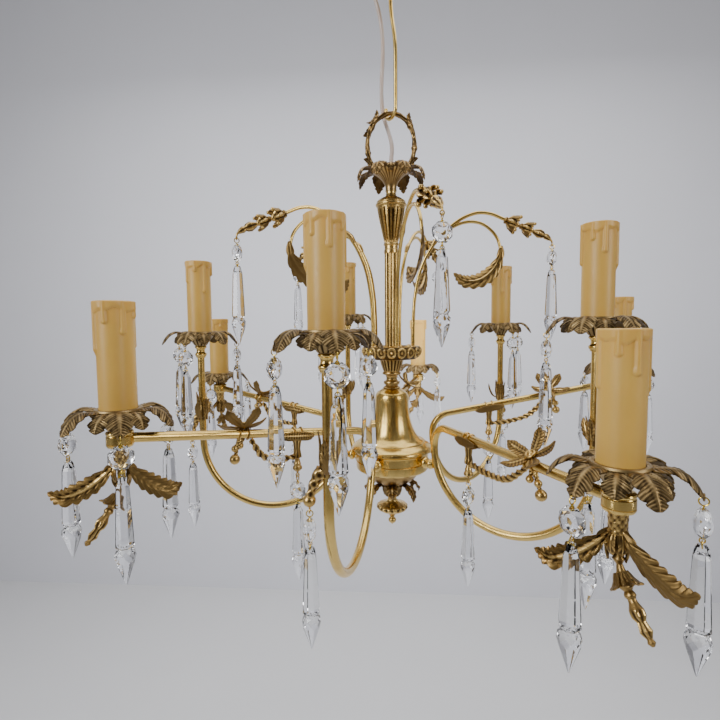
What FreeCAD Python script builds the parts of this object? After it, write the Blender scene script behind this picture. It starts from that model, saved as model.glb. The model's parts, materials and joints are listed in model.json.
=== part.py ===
"""A ten-light, five-arm brass chandelier with glass drops, hung from a hook on a ceiling plate.

Millimetres. +Z is up and the origin is the centre of the ceiling plate's top face. The ring that
the chandelier hangs by lies in the XZ plane. Compass angles are counted from -Y towards +X.
Most heights are given from the lamp plane, where the upper candles stand.
"""
import FreeCAD, Part
import math
import os
import re
import Sketcher
from FreeCAD import Matrix, Placement, Rotation, Vector

UP = Vector(0, 0, 1)
ARMS = range(5)

SIZES = {
    # the whole
    "lamp_plane_drop": 400, "arm_pitch": 72,
    # ceiling plate and hook
    "plate_radius": 45, "plate_height": 18, "plate_screw_circle": 35, "plate_screw_hole": 2.25,
    "hook_wire": 2.2, "hook_bend": 9.5, "hook_turn": 35, "hook_neck": 50, "hook_swan": 88,
    "hook_tip": 3,
    # ring and crown
    "ring_half_width": 26.8, "ring_half_height": 35, "ring_middle": 202, "ring_foot": 174,
    "ring_bar": 2.8, "crown_foot": 150, "crown_rim": 175, "crown_leaf_reach": 40,
    # column
    "tube_outer": 5, "tube_inner": 3.4, "tube_top": 168, "tube_foot": -222, "bore": 5.05,
    "urn_cap": 17.6, "urn_top": 16.2, "urn_waist": 7.2, "urn_foot": 80,
    "column_outer": 7.7, "dish_top": -27, "dish_outer": 35, "dish_foot": -76.5,
    "bell_shoulder": 19.7, "bell_outer": 47.5, "bell_wall": 1.5, "bell_foot": -150,
    "hub_outer": 42.5, "hub_foot": -172, "bowl_outer": 31, "bowl_foot": -191,
    "finial_disc": 18.8, "finial_foot": -241.5,
    # arms
    "arm_outer": 4, "arm_inner": 3, "arm_root": 60, "root_angle": -21, "root_height": -112,
    "root_bend": 24, "upper_reach": 216, "upper_angle": -14, "lower_reach": 296,
    "lower_angle": -45, "lower_height": -70, "rod_below_lamp": 22.5, "rod_end": 6.5,
    "socket_gap": 0.05, "knob_height": -157,
    # lamps
    "nipple": 3.5, "cup_outer": 17, "cup_inner": 13.7, "cup_floor": -3, "cone_foot": -16,
    "leaf_reach": 43, "short_leaf_reach": 31, "sleeve_outer": 13.5, "sleeve_inner": 12.2,
    "sleeve_top": 81.5, "wax_outer": 15, "holder_outer": 10.5, "holder_top": 67,
    "holder_mouth": 7.2, "neck_foot": -30, "knuckle_outer": 10, "knuckle_foot": -29,
    # castings on the arms
    "tube_bud_height": -110, "garland_eye_below": 41.6, "bud_top_below": 24,
    # sprays
    "spray_angle": 13, "spray_root": 25, "spray_wire": 2, "spray_reach": 177, "spray_tip": 84,
    # glass drops
    "drop_circle": 41.5, "drop_hole_below": 13, "lug_hole": 1.15, "link_radius": 2.4,
    "link_wire": 0.45, "bead_radius": 9, "bead_thick": 9, "spear_length": 78,
    "spear_radius": 7, "pin_length": 4,
    # flex and the hole that it goes up through
    "flex_radius": 2.35, "flex_hole": 3.2,
}

# How each arm was bent by hand: out, round and up from the regular place, at its upper lamp and
# then at its lower lamp, in mm, degrees and mm.
ARM_SET = [
    ((6, 2, -7), (-2, 0, 5)),
    ((2, -2, 2), (-3, 1, -18)),
    ((-3, 2, -1), (-11, 1, 18)),
    ((-11, -2, 15), (10, 0, -4)),
    ((8, 0, -9), (-1, -1, -2)),
]
# The compass angle of each upper pan's first drop, each lower pan's first drop counted from
# straight outwards, and each pendant's two leaves and chain counted from that drop.
UPPER_PAN_TURN = [17, 20, 10, 40, 0]
LOWER_PAN_TURN = [-43, 33, 0, 0, 0]
PENDANT_SIDES = [(30, 178, 50), (-158, -34, -41), (90, -90, 60), (90, -90, 60), (90, -90, -60)]
# Where the garland's clip and star are along each rod, as shares of it from the hub.
GARLAND = [(0.32, 0.57), (0.22, 0.65), (0.25, 0.62), (0.27, 0.62), (0.28, 0.6)]
# The side of the upper tube that each tube bud is on.
BUD_SIDE = [-85, 100, 150, 240, 270]
# The flex, from the column's top to the ceiling plate, heights from the ceiling.
FLEX_ROUTE = [
    (0, 0, -232), (0, 0.5, -216), (2, 3.5, -198), (-3, 10, -178), (-10, 14.5, -156),
    (-11, 14, -124), (-8, 12, -86), (-11, 12, -50), (-19, 12, -26), (-20, 12.5, -6),
]

doc = FreeCAD.newDocument("Chandelier")
sheet = doc.addObject("Spreadsheet::Sheet", "Sizes")
for row, (alias, value) in enumerate(SIZES.items(), 1):
    sheet.set(f"A{row}", alias)
    sheet.set(f"B{row}", str(value))
    sheet.setAlias(f"B{row}", alias)
doc.recompute()
NODES = []


def size(alias):
    return float(sheet.get(alias))


def bound(text):
    """The expression with each alias in it written as a reference to the sheet."""
    return re.sub(r"[a-z]\w*", lambda word: f"Sizes.{word.group()}", str(text))


def compass(degrees):
    angle = math.radians(degrees)
    return Vector(math.sin(angle), -math.cos(angle), 0)


def lamp_height(z):
    """A height over the lamp plane as a height over the origin."""
    return z - size("lamp_plane_drop")


# --- building blocks ---------------------------------------------------------------------------


def turned_body(label, outline, from_lamp_plane=True):
    """A PartDesign body turned about Z. Each point of the outline is a radius and a height, both
    expressions in the sheet's aliases, and both stay bound to it in the sketch."""
    body = doc.addObject("PartDesign::Body", label)
    body.Label = label
    plane = next(o for o in body.Origin.OriginFeatures if o.Role == "XZ_Plane")
    sketch = body.newObject("Sketcher::SketchObject", label + "_outline")
    sketch.AttachmentSupport = [(plane, "")]
    sketch.MapMode = "FlatFace"
    spots = [Vector(*(float(sheet.evalExpression(bound(e))) for e in point), 0) for point in outline]
    for start, end in zip(spots, spots[1:] + spots[:1]):
        sketch.addGeometry(Part.LineSegment(start, end), False)
    count = len(spots)
    for i, (radius, height) in enumerate(outline):
        sketch.addConstraint(Sketcher.Constraint("Coincident", i, 2, (i + 1) % count, 1))
    for i, (radius, height) in enumerate(outline):
        across = sketch.addConstraint(Sketcher.Constraint("DistanceX", -1, 1, i, 1, spots[i].x))
        upward = sketch.addConstraint(Sketcher.Constraint("DistanceY", -1, 1, i, 1, spots[i].y))
        sketch.setExpression(f"Constraints[{across}]", bound(radius))
        sketch.setExpression(f"Constraints[{upward}]", bound(height))
    turn = body.newObject("PartDesign::Revolution", label + "_turning")
    turn.Profile = sketch
    turn.ReferenceAxis = (sketch, ["V_Axis"])
    turn.Angle = 360
    if from_lamp_plane:
        body.setExpression("Placement.Base.z", "-Sizes.lamp_plane_drop")
    doc.recompute()
    return body


def keep(obj, label=None):
    """Names the object as a node of the model."""
    if label:
        obj.Label = label
    NODES.append(obj)
    return obj


def feature(label, shape):
    """A node whose shape was made with Part's own functions from the sheet's sizes."""
    obj = doc.addObject("Part::Feature", label)
    obj.Shape = shape
    return keep(obj, label)


def one_solid(shape):
    """The only solid of a shape; a casting in two pieces is a mistake."""
    if len(shape.Solids) != 1:
        raise RuntimeError(f"{len(shape.Solids)} solids of {[round(s.Volume) for s in shape.Solids]} mm3")
    return shape.Solids[0]


def joined(shapes, cuts=()):
    """One solid of several that overlap, less the cuts."""
    whole = shapes[0].fuse(list(shapes[1:])).removeSplitter()
    return one_solid(whole.cut(list(cuts)) if cuts else whole)


def turned_shape(points):
    """A solid turned about Z from radius and height pairs."""
    wire = Part.makePolygon([Vector(r, 0, z) for r, z in points] + [Vector(points[0][0], 0, points[0][1])])
    return Part.Face(wire).revolve(Vector(), UP, 360)


def along(shape, start, direction):
    """The shape, made about Z from the origin, moved to start with its Z along direction."""
    return shape.transformed(Placement(start, Rotation(UP, direction)).toMatrix(), True)


def ball(centre, radius):
    return Part.makeSphere(radius, centre)


def cone(start, end, r_start, r_end):
    """A round taper between two points; equal radii make a cylinder."""
    way = end - start
    if abs(r_start - r_end) < 1e-6:
        return Part.makeCylinder(r_start, way.Length, start, way)
    return Part.makeCone(r_start, r_end, way.Length, start, way)


def rounded_path(points):
    """Straight runs joined by tangent arcs, each arc as large as its two runs allow."""
    edges, radii = [], []
    last = points[0]
    for before, corner, after in zip(points, points[1:], points[2:]):
        back, ahead = before - corner, after - corner
        reach = 0.45 * min(back.Length, ahead.Length)
        back.normalize()
        ahead.normalize()
        half = (math.pi - back.getAngle(ahead)) / 2
        enter, leave = corner + back * reach, corner + ahead * reach
        radius = reach / math.tan(half)
        inward = (back + ahead).normalize()
        middle = corner + inward * (math.hypot(radius, reach) - radius)
        edges.append(Part.LineSegment(last, enter).toShape())
        edges.append(Part.Arc(enter, middle, leave).toShape())
        radii.append(radius)
        last = leave
    edges.append(Part.LineSegment(last, points[-1]).toShape())
    return Part.Wire(edges), radii


def round_sweep(path, radius):
    """A round bar along a path; its volume is compared with its section times its length."""
    first = path.OrderedEdges[0]
    start = first.valueAt(first.FirstParameter)
    way = first.tangentAt(first.FirstParameter)
    ends = [path.OrderedVertexes[0].Point, path.OrderedVertexes[-1].Point]
    if (start - ends[0]).Length > 1e-6:
        start, way = first.valueAt(first.LastParameter), -first.tangentAt(first.LastParameter)
    bar = path.makePipeShell([Part.Wire(Part.makeCircle(radius, start, way))], True, False)
    expected = math.pi * radius ** 2 * path.Length
    if not bar.isValid() or abs(bar.Volume / expected - 1) > 0.01:
        raise RuntimeError(f"a sweep of {path.Length:.0f} mm came out wrong")
    return bar


def leaf(spine, widths, thickness, flat):
    """A cast leaf: diamond sections along a spine, as wide as widths across the direction flat."""
    sections = []
    for i, (spot, width) in enumerate(zip(spine, widths)):
        way = (spine[min(i + 1, len(spine) - 1)] - spine[max(i - 1, 0)]).normalize()
        side = (flat - way * flat.dot(way)).normalize()
        normal = way.cross(side)
        corners = [spot + side * (width / 2), spot + normal * (thickness / 2),
                   spot - side * (width / 2), spot - normal * (thickness / 2)]
        sections.append(Part.makePolygon(corners + corners[:1]))
    return Part.makeLoft(sections, True, True)


def radial_leaf(angle, profile, widths, thickness):
    """A leaf in the upright plane at a compass angle; profile is radius and height pairs."""
    out = compass(angle)
    return leaf([out * r + UP * z for r, z in profile], widths, thickness, out.cross(UP))


def lug(centre, hole_way):
    """A small upright eye that a drop's link hangs in."""
    thick = 1.2
    side = hole_way.cross(UP).normalize()
    half_width, above, below = 2.4, 4.5, 2.1
    corners = [centre + side * half_width + UP * above, centre - side * half_width + UP * above,
               centre - side * half_width - UP * (below - 1.2), centre - side * 1.2 - UP * below,
               centre + side * 1.2 - UP * below, centre + side * half_width - UP * (below - 1.2)]
    plate = Part.Face(Part.makePolygon(corners + corners[:1])).extrude(hole_way * thick)
    return plate.translated(hole_way * (-thick / 2))


def lug_hole(centre, hole_way):
    return Part.makeCylinder(size("lug_hole"), 8, centre - hole_way * 4, hole_way)


def octagon(radius, offset):
    """An eight-sided outline in the XY plane at a height, two sides across X."""
    spots = [Vector(radius * math.cos(a), radius * math.sin(a), offset)
             for a in (math.radians(22.5 + 45 * i) for i in range(8))]
    return Part.makePolygon(spots + spots[:1])


# --- ceiling plate, hook, ring and flex ----------------------------------------------------------


def ring_crown():
    """Height of the ring bar's centre at its highest point, over the lamp plane."""
    return size("ring_middle") + size("ring_half_height")


def ceiling_plate():
    """The plate that screws to the ceiling, with the hook riveted and brazed in its middle."""
    plate = turned_body("ceiling_plate", [
        (0, 0), ("plate_radius", 0), ("plate_radius", -3), ("plate_radius - 9", -8),
        (14, -12), (9, "-plate_height"), (0, "-plate_height"),
    ], from_lamp_plane=False)
    out = compass(size("hook_turn"))
    bend, wire = size("hook_bend"), size("hook_wire")
    saddle = lamp_height(ring_crown() - size("ring_bar")) - 0.3
    centre = saddle - wire + bend
    foot = out * bend + UP * centre
    far = out * -bend + UP * centre
    swan, _ = rounded_path([UP * -6, UP * -size("hook_neck"),
                            out * bend - UP * size("hook_swan"), foot])
    edges = list(swan.OrderedEdges)
    edges.append(Part.Arc(foot, UP * (centre - bend), far).toShape())
    edges.append(Part.LineSegment(far, far + UP * size("hook_tip")).toShape())
    hook = round_sweep(Part.Wire(edges), wire)
    whole = plate.Shape.fuse([hook, ball(far + UP * size("hook_tip"), wire)])
    for i in range(3):
        spot = compass(120 * i + 60) * size("plate_screw_circle")
        whole = whole.cut(Part.makeCylinder(size("plate_screw_hole"), 30, spot - UP * 25, UP))
    inlet = Vector(*FLEX_ROUTE[-1][:2], -25)
    whole = whole.cut(Part.makeCylinder(size("flex_hole"), 30, inlet, UP))
    feature("ceiling_hook_plate", one_solid(whole.removeSplitter()))


def supply_flex():
    path, radii = rounded_path([Vector(*p) for p in FLEX_ROUTE])
    print("flex bends, mm:", [round(r) for r in radii], "length", round(path.Length, 1))
    feature("supply_flex", round_sweep(path, size("flex_radius")))


def suspension_ring():
    """The cast twig ring with its leaf crown, one casting that screws on the threaded tube."""
    crown = turned_body("crown_cup", [
        ("bore", "crown_foot"), (6.4, "crown_foot"), (6.8, "crown_foot + 6"),
        (10, "crown_foot + 13"), (20, "crown_rim - 4"), (22, "crown_rim"), (17.5, "crown_rim"),
        (8, "crown_rim - 8"), ("bore", "crown_rim - 9"),
    ])
    middle = Vector(0, 0, lamp_height(size("ring_middle")))
    half_width, half_height = size("ring_half_width"), size("ring_half_height")
    foot_angle = math.asin((size("ring_foot") - size("ring_middle")) / half_height)
    oval = Part.Ellipse(middle + UP * half_height, middle + Vector(half_width, 0, 0), middle)
    across = middle + Vector(half_width * math.cos(foot_angle), 0, half_height * math.sin(foot_angle))
    start = oval.parameter(across)
    end = oval.parameter(Vector(-across.x, 0, across.z))
    arc = Part.Edge(Part.ArcOfEllipse(oval, min(start, end), max(start, end)))
    if arc.valueAt((arc.FirstParameter + arc.LastParameter) / 2).z < middle.z:
        arc = Part.Edge(Part.ArcOfEllipse(oval, max(start, end), min(start, end) + 2 * math.pi))
    way = arc.tangentAt(arc.FirstParameter)
    section = Part.Wire(Part.makeCircle(size("ring_bar"), arc.valueAt(arc.FirstParameter), way))
    bar = Part.Wire(arc).makePipeShell([section], True, False)
    reach, rim = size("crown_leaf_reach"), lamp_height(size("crown_rim"))
    profile = [(19, rim - 3), (26, rim + 1), (reach - 6, rim - 4), (reach, rim - 15), (reach - 1, rim - 23)]
    leaves = [radial_leaf(45 * i + 22.5, profile, [9, 14, 12, 8, 2], 2.4) for i in range(8)]
    feature("suspension_ring", joined([crown.Shape, bar] + leaves))


# --- column --------------------------------------------------------------------------------------


def column():
    keep(turned_body("fluted_urn", [
        ("bore", "crown_foot"), (6, "crown_foot"), (5.6, "crown_foot - 3"),
        (6.4, "crown_foot - 6"), (12, 141), ("urn_cap", 136), ("urn_cap", 133.5),
        ("urn_top", 132), ("urn_waist", 92), ("urn_waist + 1.3", 91), ("urn_waist + 1.3", 87),
        ("urn_waist + 0.6", 84), ("urn_waist + 1.3", "urn_foot"), ("bore", "urn_foot"),
    ]))
    keep(turned_body("column_sleeve", [
        ("bore", "urn_foot"), ("column_outer", "urn_foot"),
        ("column_outer", "dish_top"), ("bore", "dish_top"),
    ]))
    keep(turned_body("threaded_tube", [
        ("tube_inner", "tube_top"), ("tube_outer", "tube_top"),
        ("tube_outer", "tube_foot"), ("tube_inner", "tube_foot"),
    ]))


def spray_dish():
    """The scroll-rimmed dish with five blind holes for the spray wires."""
    dish = turned_body("spray_dish", [
        ("bore", "dish_top"), ("dish_outer - 5", "dish_top"), ("dish_outer - 1", "dish_top - 2"),
        ("dish_outer", "dish_top - 6"), ("dish_outer - 1", "dish_top - 12"),
        ("dish_outer - 5", "dish_top - 15"), (14, "dish_top - 16"), (12.5, "dish_top - 19"),
        (9, -57), (10.5, -58), (11, -60), (6.5, -63), (6.5, -66), (9, -69), (9, -72), (7, -74),
        (10, "dish_foot"), ("bore", "dish_foot"),
    ])
    xy = next(o for o in dish.Origin.OriginFeatures if o.Role == "XY_Plane")
    z_axis = next(o for o in dish.Origin.OriginFeatures if o.Role == "Z_Axis")
    sketch = dish.newObject("Sketcher::SketchObject", "wire_hole_outline")
    sketch.AttachmentSupport = [(xy, "")]
    sketch.MapMode = "FlatFace"
    sketch.setExpression("AttachmentOffset.Base.z", bound("dish_top"))
    spot = compass(size("spray_angle")) * size("spray_root")
    sketch.addGeometry(Part.Circle(spot, UP, size("spray_wire") + size("socket_gap")), False)
    doc.recompute()
    before = dish.Shape.Volume
    hole = dish.newObject("PartDesign::Pocket", "wire_hole")
    hole.Profile = sketch
    hole.Length = 10
    hole.Reversed = False
    ring = dish.newObject("PartDesign::PolarPattern", "wire_holes")
    ring.Originals = [hole]
    ring.Axis = (z_axis, [""])
    ring.Angle = 360
    ring.Occurrences = len(ARMS)
    dish.Tip = ring
    doc.recompute()
    cut = (before - dish.Shape.Volume) / (math.pi * (size("spray_wire") + size("socket_gap")) ** 2 * 10)
    if abs(cut - len(ARMS)) > 0.01:
        raise RuntimeError(f"the dish has {cut:.2f} wire holes")
    keep(dish)


def hub(arm_bars):
    keep(turned_body("bell_cover", [
        ("bore", "dish_foot"), (9, "dish_foot"), (17, -80), ("bell_shoulder", -85),
        ("bell_shoulder - 0.5", -96), (21, -112), (28, -128), (40, -138),
        ("bell_outer - 0.5", -143), ("bell_outer", -147), ("bell_outer - 3", "bell_foot"),
        ("bell_outer - 3 - bell_wall", "bell_foot"), ("bell_outer - bell_wall", -146.5),
        ("bell_outer - 0.5 - bell_wall", -144.3), (39.4, -139.5), (26.7, -129.1),
        ("21 - bell_wall", -112.6), ("bell_shoulder - 0.5 - bell_wall", -96),
        ("bell_shoulder - bell_wall", -85.5), (16, -81.6), (8.6, "dish_foot - bell_wall"),
        ("bore", "dish_foot - bell_wall"),
    ]))
    ring = turned_body("hub_ring_turned", [
        ("hub_outer + 1.5", "bell_foot"), ("hub_outer + 1.5", "bell_foot - 2"),
        ("hub_outer", "bell_foot - 4"), ("hub_outer", "bell_foot - 10"),
        ("hub_outer - 1", "bell_foot - 11"), ("hub_outer", "bell_foot - 12"),
        ("hub_outer", "hub_foot + 2"), ("hub_outer - 1.5", "hub_foot"), ("bowl_outer - 2", "hub_foot"),
        ("bowl_outer - 2", "hub_foot + 3"), ("bore", "hub_foot + 3"), ("bore", "hub_foot + 6"),
        ("hub_outer - 3.5", "hub_foot + 6"), ("hub_outer - 3.5", "bell_foot"),
    ])
    knob = turned_shape([(0, 40), (3.6, 40), (3.6, 44), (5.4, 45.5), (6.4, 48), (5.4, 50.5), (3.6, 52),
                         (5.6, 54), (5.6, 56), (4, 59.5), (0, 59.5)])
    knobs = []
    for arm in ARMS:
        out = compass(size("root_angle") + size("arm_pitch") * arm)
        knobs.append(along(knob, UP * lamp_height(size("knob_height")), out))
    feature("hub_ring", joined([ring.Shape] + knobs, arm_bars))

    bowl = turned_body("hub_bowl_turned", [
        ("bowl_outer - 1", "hub_foot"), ("bowl_outer", "hub_foot - 2"), (28, -182), (18, -189),
        (8, "bowl_foot"), ("bore", "bowl_foot"), ("bore", "bowl_foot + 2"),
        (8, "bowl_foot + 2"), (17, -187), (26.3, -181), ("bowl_outer - 2", "hub_foot - 2.5"),
        ("bowl_outer - 2.5", "hub_foot"),
    ])
    foot = lamp_height(size("bowl_foot"))
    profile = [(20, foot + 3), (28, foot + 1), (34, foot - 4), (36, foot - 10), (34, foot - 14)]
    leaves = [radial_leaf(45 * i, profile, [8, 13, 12, 8, 2], 2.4) for i in range(8)]
    feature("hub_bowl", joined([bowl.Shape] + leaves))
    keep(turned_body("bottom_finial", [
        ("bore", "bowl_foot"), (9, "bowl_foot"), (9.5, -197), (6, -203), (5.8, -210), (8, -214),
        ("finial_disc", -217), ("finial_disc", -221), (15, -226), (6, -229), (3.5, -232),
        (3.6, -238), (0, "finial_foot"), (0, "tube_foot - 2"), ("bore", "tube_foot - 2"),
    ]))


# --- arms ----------------------------------------------------------------------------------------


def lamp_place(arm, upper):
    """The middle of a lamp's pan, at the level that its candle stands on."""
    kind = "upper" if upper else "lower"
    out_by, turn_by, up_by = ARM_SET[arm][0 if upper else 1]
    height = up_by if upper else size("lower_height") + up_by
    angle = size(kind + "_angle") + size("arm_pitch") * arm + turn_by
    return compass(angle) * (size(kind + "_reach") + out_by) + UP * lamp_height(height)


def arm_route(arm):
    """The arm's centre line: the rod from the lower lamp in to the hub, the bend down beside it,
    the half loop out again and the upright of the upper lamp. Also the rod's two ends."""
    root = compass(size("root_angle") + size("arm_pitch") * arm) * size("arm_root")
    bend = size("root_bend")
    knuckle = lamp_place(arm, False) - UP * size("rod_below_lamp")
    flat = Vector(knuckle.x - root.x, knuckle.y - root.y, 0)
    span = flat.Length
    flat.normalize()
    level = lamp_height(size("root_height")) - bend
    slope = 0.0
    for _ in range(30):
        slope = math.atan2(knuckle.z - level - bend * math.cos(slope), span - bend + bend * math.sin(slope))
    centre = root + flat * bend + UP * level
    touch = centre + flat * (-bend * math.sin(slope)) + UP * (bend * math.cos(slope))
    halfway = (math.pi / 2 - slope) / 2 + slope
    inner = centre - flat * (bend * math.sin(halfway)) + UP * (bend * math.cos(halfway))
    start = knuckle - (knuckle - touch).normalize() * size("rod_end")
    turn = root + UP * level
    top = lamp_place(arm, True) + UP * (size("neck_foot") + 5)
    across = Vector(top.x - turn.x, top.y - turn.y, 0)
    low = turn + across * 0.5 - UP * (across.Length / 2)
    edges = [
        Part.LineSegment(start, touch).toShape(),
        Part.Arc(touch, inner, turn).toShape(),
        Part.Arc(turn, low, turn + across).toShape(),
        Part.LineSegment(turn + across, top).toShape(),
    ]
    return Part.Wire(edges), touch, start


def arm_tubes():
    outers, tubes = [], []
    for arm in ARMS:
        path, _, _ = arm_route(arm)
        outer = round_sweep(path, size("arm_outer"))
        tubes.append(outer.cut(round_sweep(path, size("arm_inner"))))
        outers.append(round_sweep(path, size("arm_outer") + size("socket_gap")))
    feature("arm_tubes", Part.makeCompound(tubes))
    return outers


def clip_place(arm, share):
    """A point on the rod's centre line and the rod's direction, outwards."""
    _, inner, outer = arm_route(arm)
    return inner + (outer - inner) * share, (outer - inner).normalize()


def arm_garland(arm, bar):
    """The clip with its leaf, stub, bell bud and eye near the hub, the rope, and the star of leaves
    with its berries. The bar is the arm's clearance, cut out of it."""
    inner_spot, way = clip_place(arm, GARLAND[arm][0])
    star_spot, _ = clip_place(arm, GARLAND[arm][1])
    side = way.cross(UP).normalize()
    grip = size("arm_outer") + 1.8
    clip = Part.makeCylinder(grip, 16, inner_spot - way * 8, way)
    collar = Part.makeCylinder(grip, 10, star_spot - way * 5, way)
    below = inner_spot - UP * 4.8
    scale = leaf([below + way * d - UP * s for d, s in ((-18, 0), (-8, 1.5), (6, 2), (20, 0.5))],
                 [4, 13, 13, 3], 5, side)
    bud_top = inner_spot - UP * size("bud_top_below")
    stub = cone(inner_spot - UP * 4, bud_top, 4, 2.4)
    bud = along(turned_shape([(0, 0), (2.4, 0), (3, 3), (2.6, 6), (4.2, 11), (2.2, 14), (0, 14.5)]),
                bud_top + UP * 0.5, Vector(0, 0, -1))
    dip = 0.5 * (bud_top + star_spot) - UP * 10
    rope_path = [bud_top + UP * 1, 0.6 * bud_top + 0.4 * star_spot - UP * 10, dip + way * 8 - UP * 1,
                 star_spot - way * 3 - UP * 5]
    rope = round_sweep(rounded_path(rope_path)[0], 2.4)
    centre = star_spot + UP * 6.5
    petals = []
    for i in range(5):
        out = way * math.cos(math.radians(72 * i + 36)) + side * math.sin(math.radians(72 * i + 36))
        spine = [centre + out * d + UP * h for d, h in ((0, -1), (9, 3), (18, 9), (24, 14))]
        petals.append(leaf(spine, [4, 9, 8, 2], 2.6, out.cross(UP)))
    berries = []
    for along_by, side_by, down, radius in ((2, 3, 11, 3.2), (8, 0, 13, 3.2), (9, -2, 22, 4.5)):
        spot = star_spot + way * along_by + side * side_by - UP * down
        berries += [cone(star_spot + way * along_by * 0.4 - UP * 4, spot, 1.6, 1.2), ball(spot, radius)]
    eye = garland_eye(arm)
    out = compass(garland_swing(arm))
    return joined([clip, collar, scale, stub, bud, ball(centre, 4), lug(eye, out), rope] + petals + berries,
                  [bar, lug_hole(eye, out)])


def garland_swing(arm):
    return size("root_angle") + size("arm_pitch") * arm


def garland_eye(arm):
    spot, _ = clip_place(arm, GARLAND[arm][0])
    return spot - UP * size("garland_eye_below")


def tube_bud(arm, bar):
    """The leafy casting that is clipped round the upper lamp's upright, with a ball and an eye."""
    lamp = lamp_place(arm, True)
    axis = Vector(lamp.x, lamp.y, 0)
    level = lamp_height(size("tube_bud_height"))
    out = compass(BUD_SIDE[arm])
    side = out.cross(UP)
    spot = axis + UP * level
    collar = Part.makeCylinder(size("arm_outer") + 1.8, 14, spot - UP * 2, UP)
    upright = leaf([spot + out * 4 + UP * h for h in (-2, 8, 20, 30)], [7, 9, 7, 2], 6, side)
    lump = cone(spot + out * 4 + UP * 2, bud_ball(arm) + UP * 3, 5.5, 3.4)
    prongs = [leaf([spot + UP * h + way * d for d, h in ((3, 2), (9, 4), (14, 12), (17, 20))],
                   [6, 7, 5, 1.5], 3, way.cross(UP))
              for way in (side, -side)]
    parts = [collar, upright, lump, ball(bud_ball(arm), 4.6), lug(bud_eye(arm), out)] + prongs
    return joined(parts, [bar, lug_hole(bud_eye(arm), out)])


def bud_ball(arm):
    lamp = lamp_place(arm, True)
    return Vector(lamp.x, lamp.y, lamp_height(size("tube_bud_height") - 20)) + compass(BUD_SIDE[arm]) * 14


def bud_eye(arm):
    return bud_ball(arm) - UP * 7.5


def leaf_pendant(arm):
    """Under each lower knuckle: a chased stub, two feathered leaves and a chain of flowers."""
    lamp = lamp_place(arm, False)
    first = pan_turn(arm, False)
    stub = turned_shape([(0, 0), (6, 0), (6.3, -4), (5.4, -12), (3, -15), (0, -15)])
    top = lamp + UP * size("knuckle_foot")
    parts = [stub.translated(top)]
    *leaf_turns, chain_turn = PENDANT_SIDES[arm]
    for turn in leaf_turns:
        out = compass(first + turn)
        spine = [top + out * r - UP * z for r, z in ((2, 9), (14, 22), (28, 31), (41, 33), (49, 27))]
        parts.append(leaf(spine, [6, 15, 14, 9, 2], 3, out.cross(UP)))
    out = compass(first + chain_turn)
    chain = [top + out * r - UP * z for r, z in ((0, 14), (1, 29), (6, 42), (15, 56), (27, 69))]
    parts += [cone(a, b, 2, 2) for a, b in zip(chain, chain[1:])]
    parts += [ball(chain[1], 3.5), ball(chain[2], 6), ball(chain[3], 4.5), ball(chain[4], 2.4)]
    return joined(parts)


# --- lamps ---------------------------------------------------------------------------------------


def pan_turn(arm, upper):
    """The compass angle of a pan's first drop."""
    if upper:
        return UPPER_PAN_TURN[arm]
    place = lamp_place(arm, False)
    outward = math.degrees(math.atan2(place.x, -place.y))
    return outward + LOWER_PAN_TURN[arm]


def each_lamp(shape, upper=None):
    """Copies of a shape made about the origin, at each lamp or at the upper or lower five."""
    kinds = (True, False) if upper is None else (upper,)
    return [shape.translated(lamp_place(arm, kind)) for kind in kinds for arm in ARMS]


def drip_pan():
    """One pan: a fluted cup with six long and six short leaves, three of them with an eye."""
    gap = size("nipple") + size("socket_gap")
    floor, foot = size("cup_floor"), size("cone_foot")
    outer, inner = size("cup_outer"), size("cup_inner")
    cup = turned_shape([(gap, foot), (5.9, foot), (14, -5.5), (outer, -1.5), (outer, 0.5), (inner, 0.5),
                        (inner, floor), (gap, floor)])
    reach, short = size("leaf_reach"), size("short_leaf_reach")
    long_profile = [(15.5, -1.8), (25, 0.6), (34, -3), (39.5, -9), (reach - 1.2, -14)]
    short_profile = [(15.5, -2.2), (22, -2.5), (short - 3, -7), (short, -12)]
    parts = [cup]
    for i in range(6):
        parts.append(radial_leaf(60 * i, long_profile, [8, 15, 14, 9, 3.4], 2))
        parts.append(radial_leaf(60 * i + 30, short_profile, [7, 10, 8, 3], 2))
    eyes = []
    for i in range(3):
        out = compass(120 * i)
        eye = out * size("drop_circle") - UP * size("drop_hole_below")
        parts.append(lug(eye, out))
        eyes.append(lug_hole(eye, out))
    return joined(parts, eyes)


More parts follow.
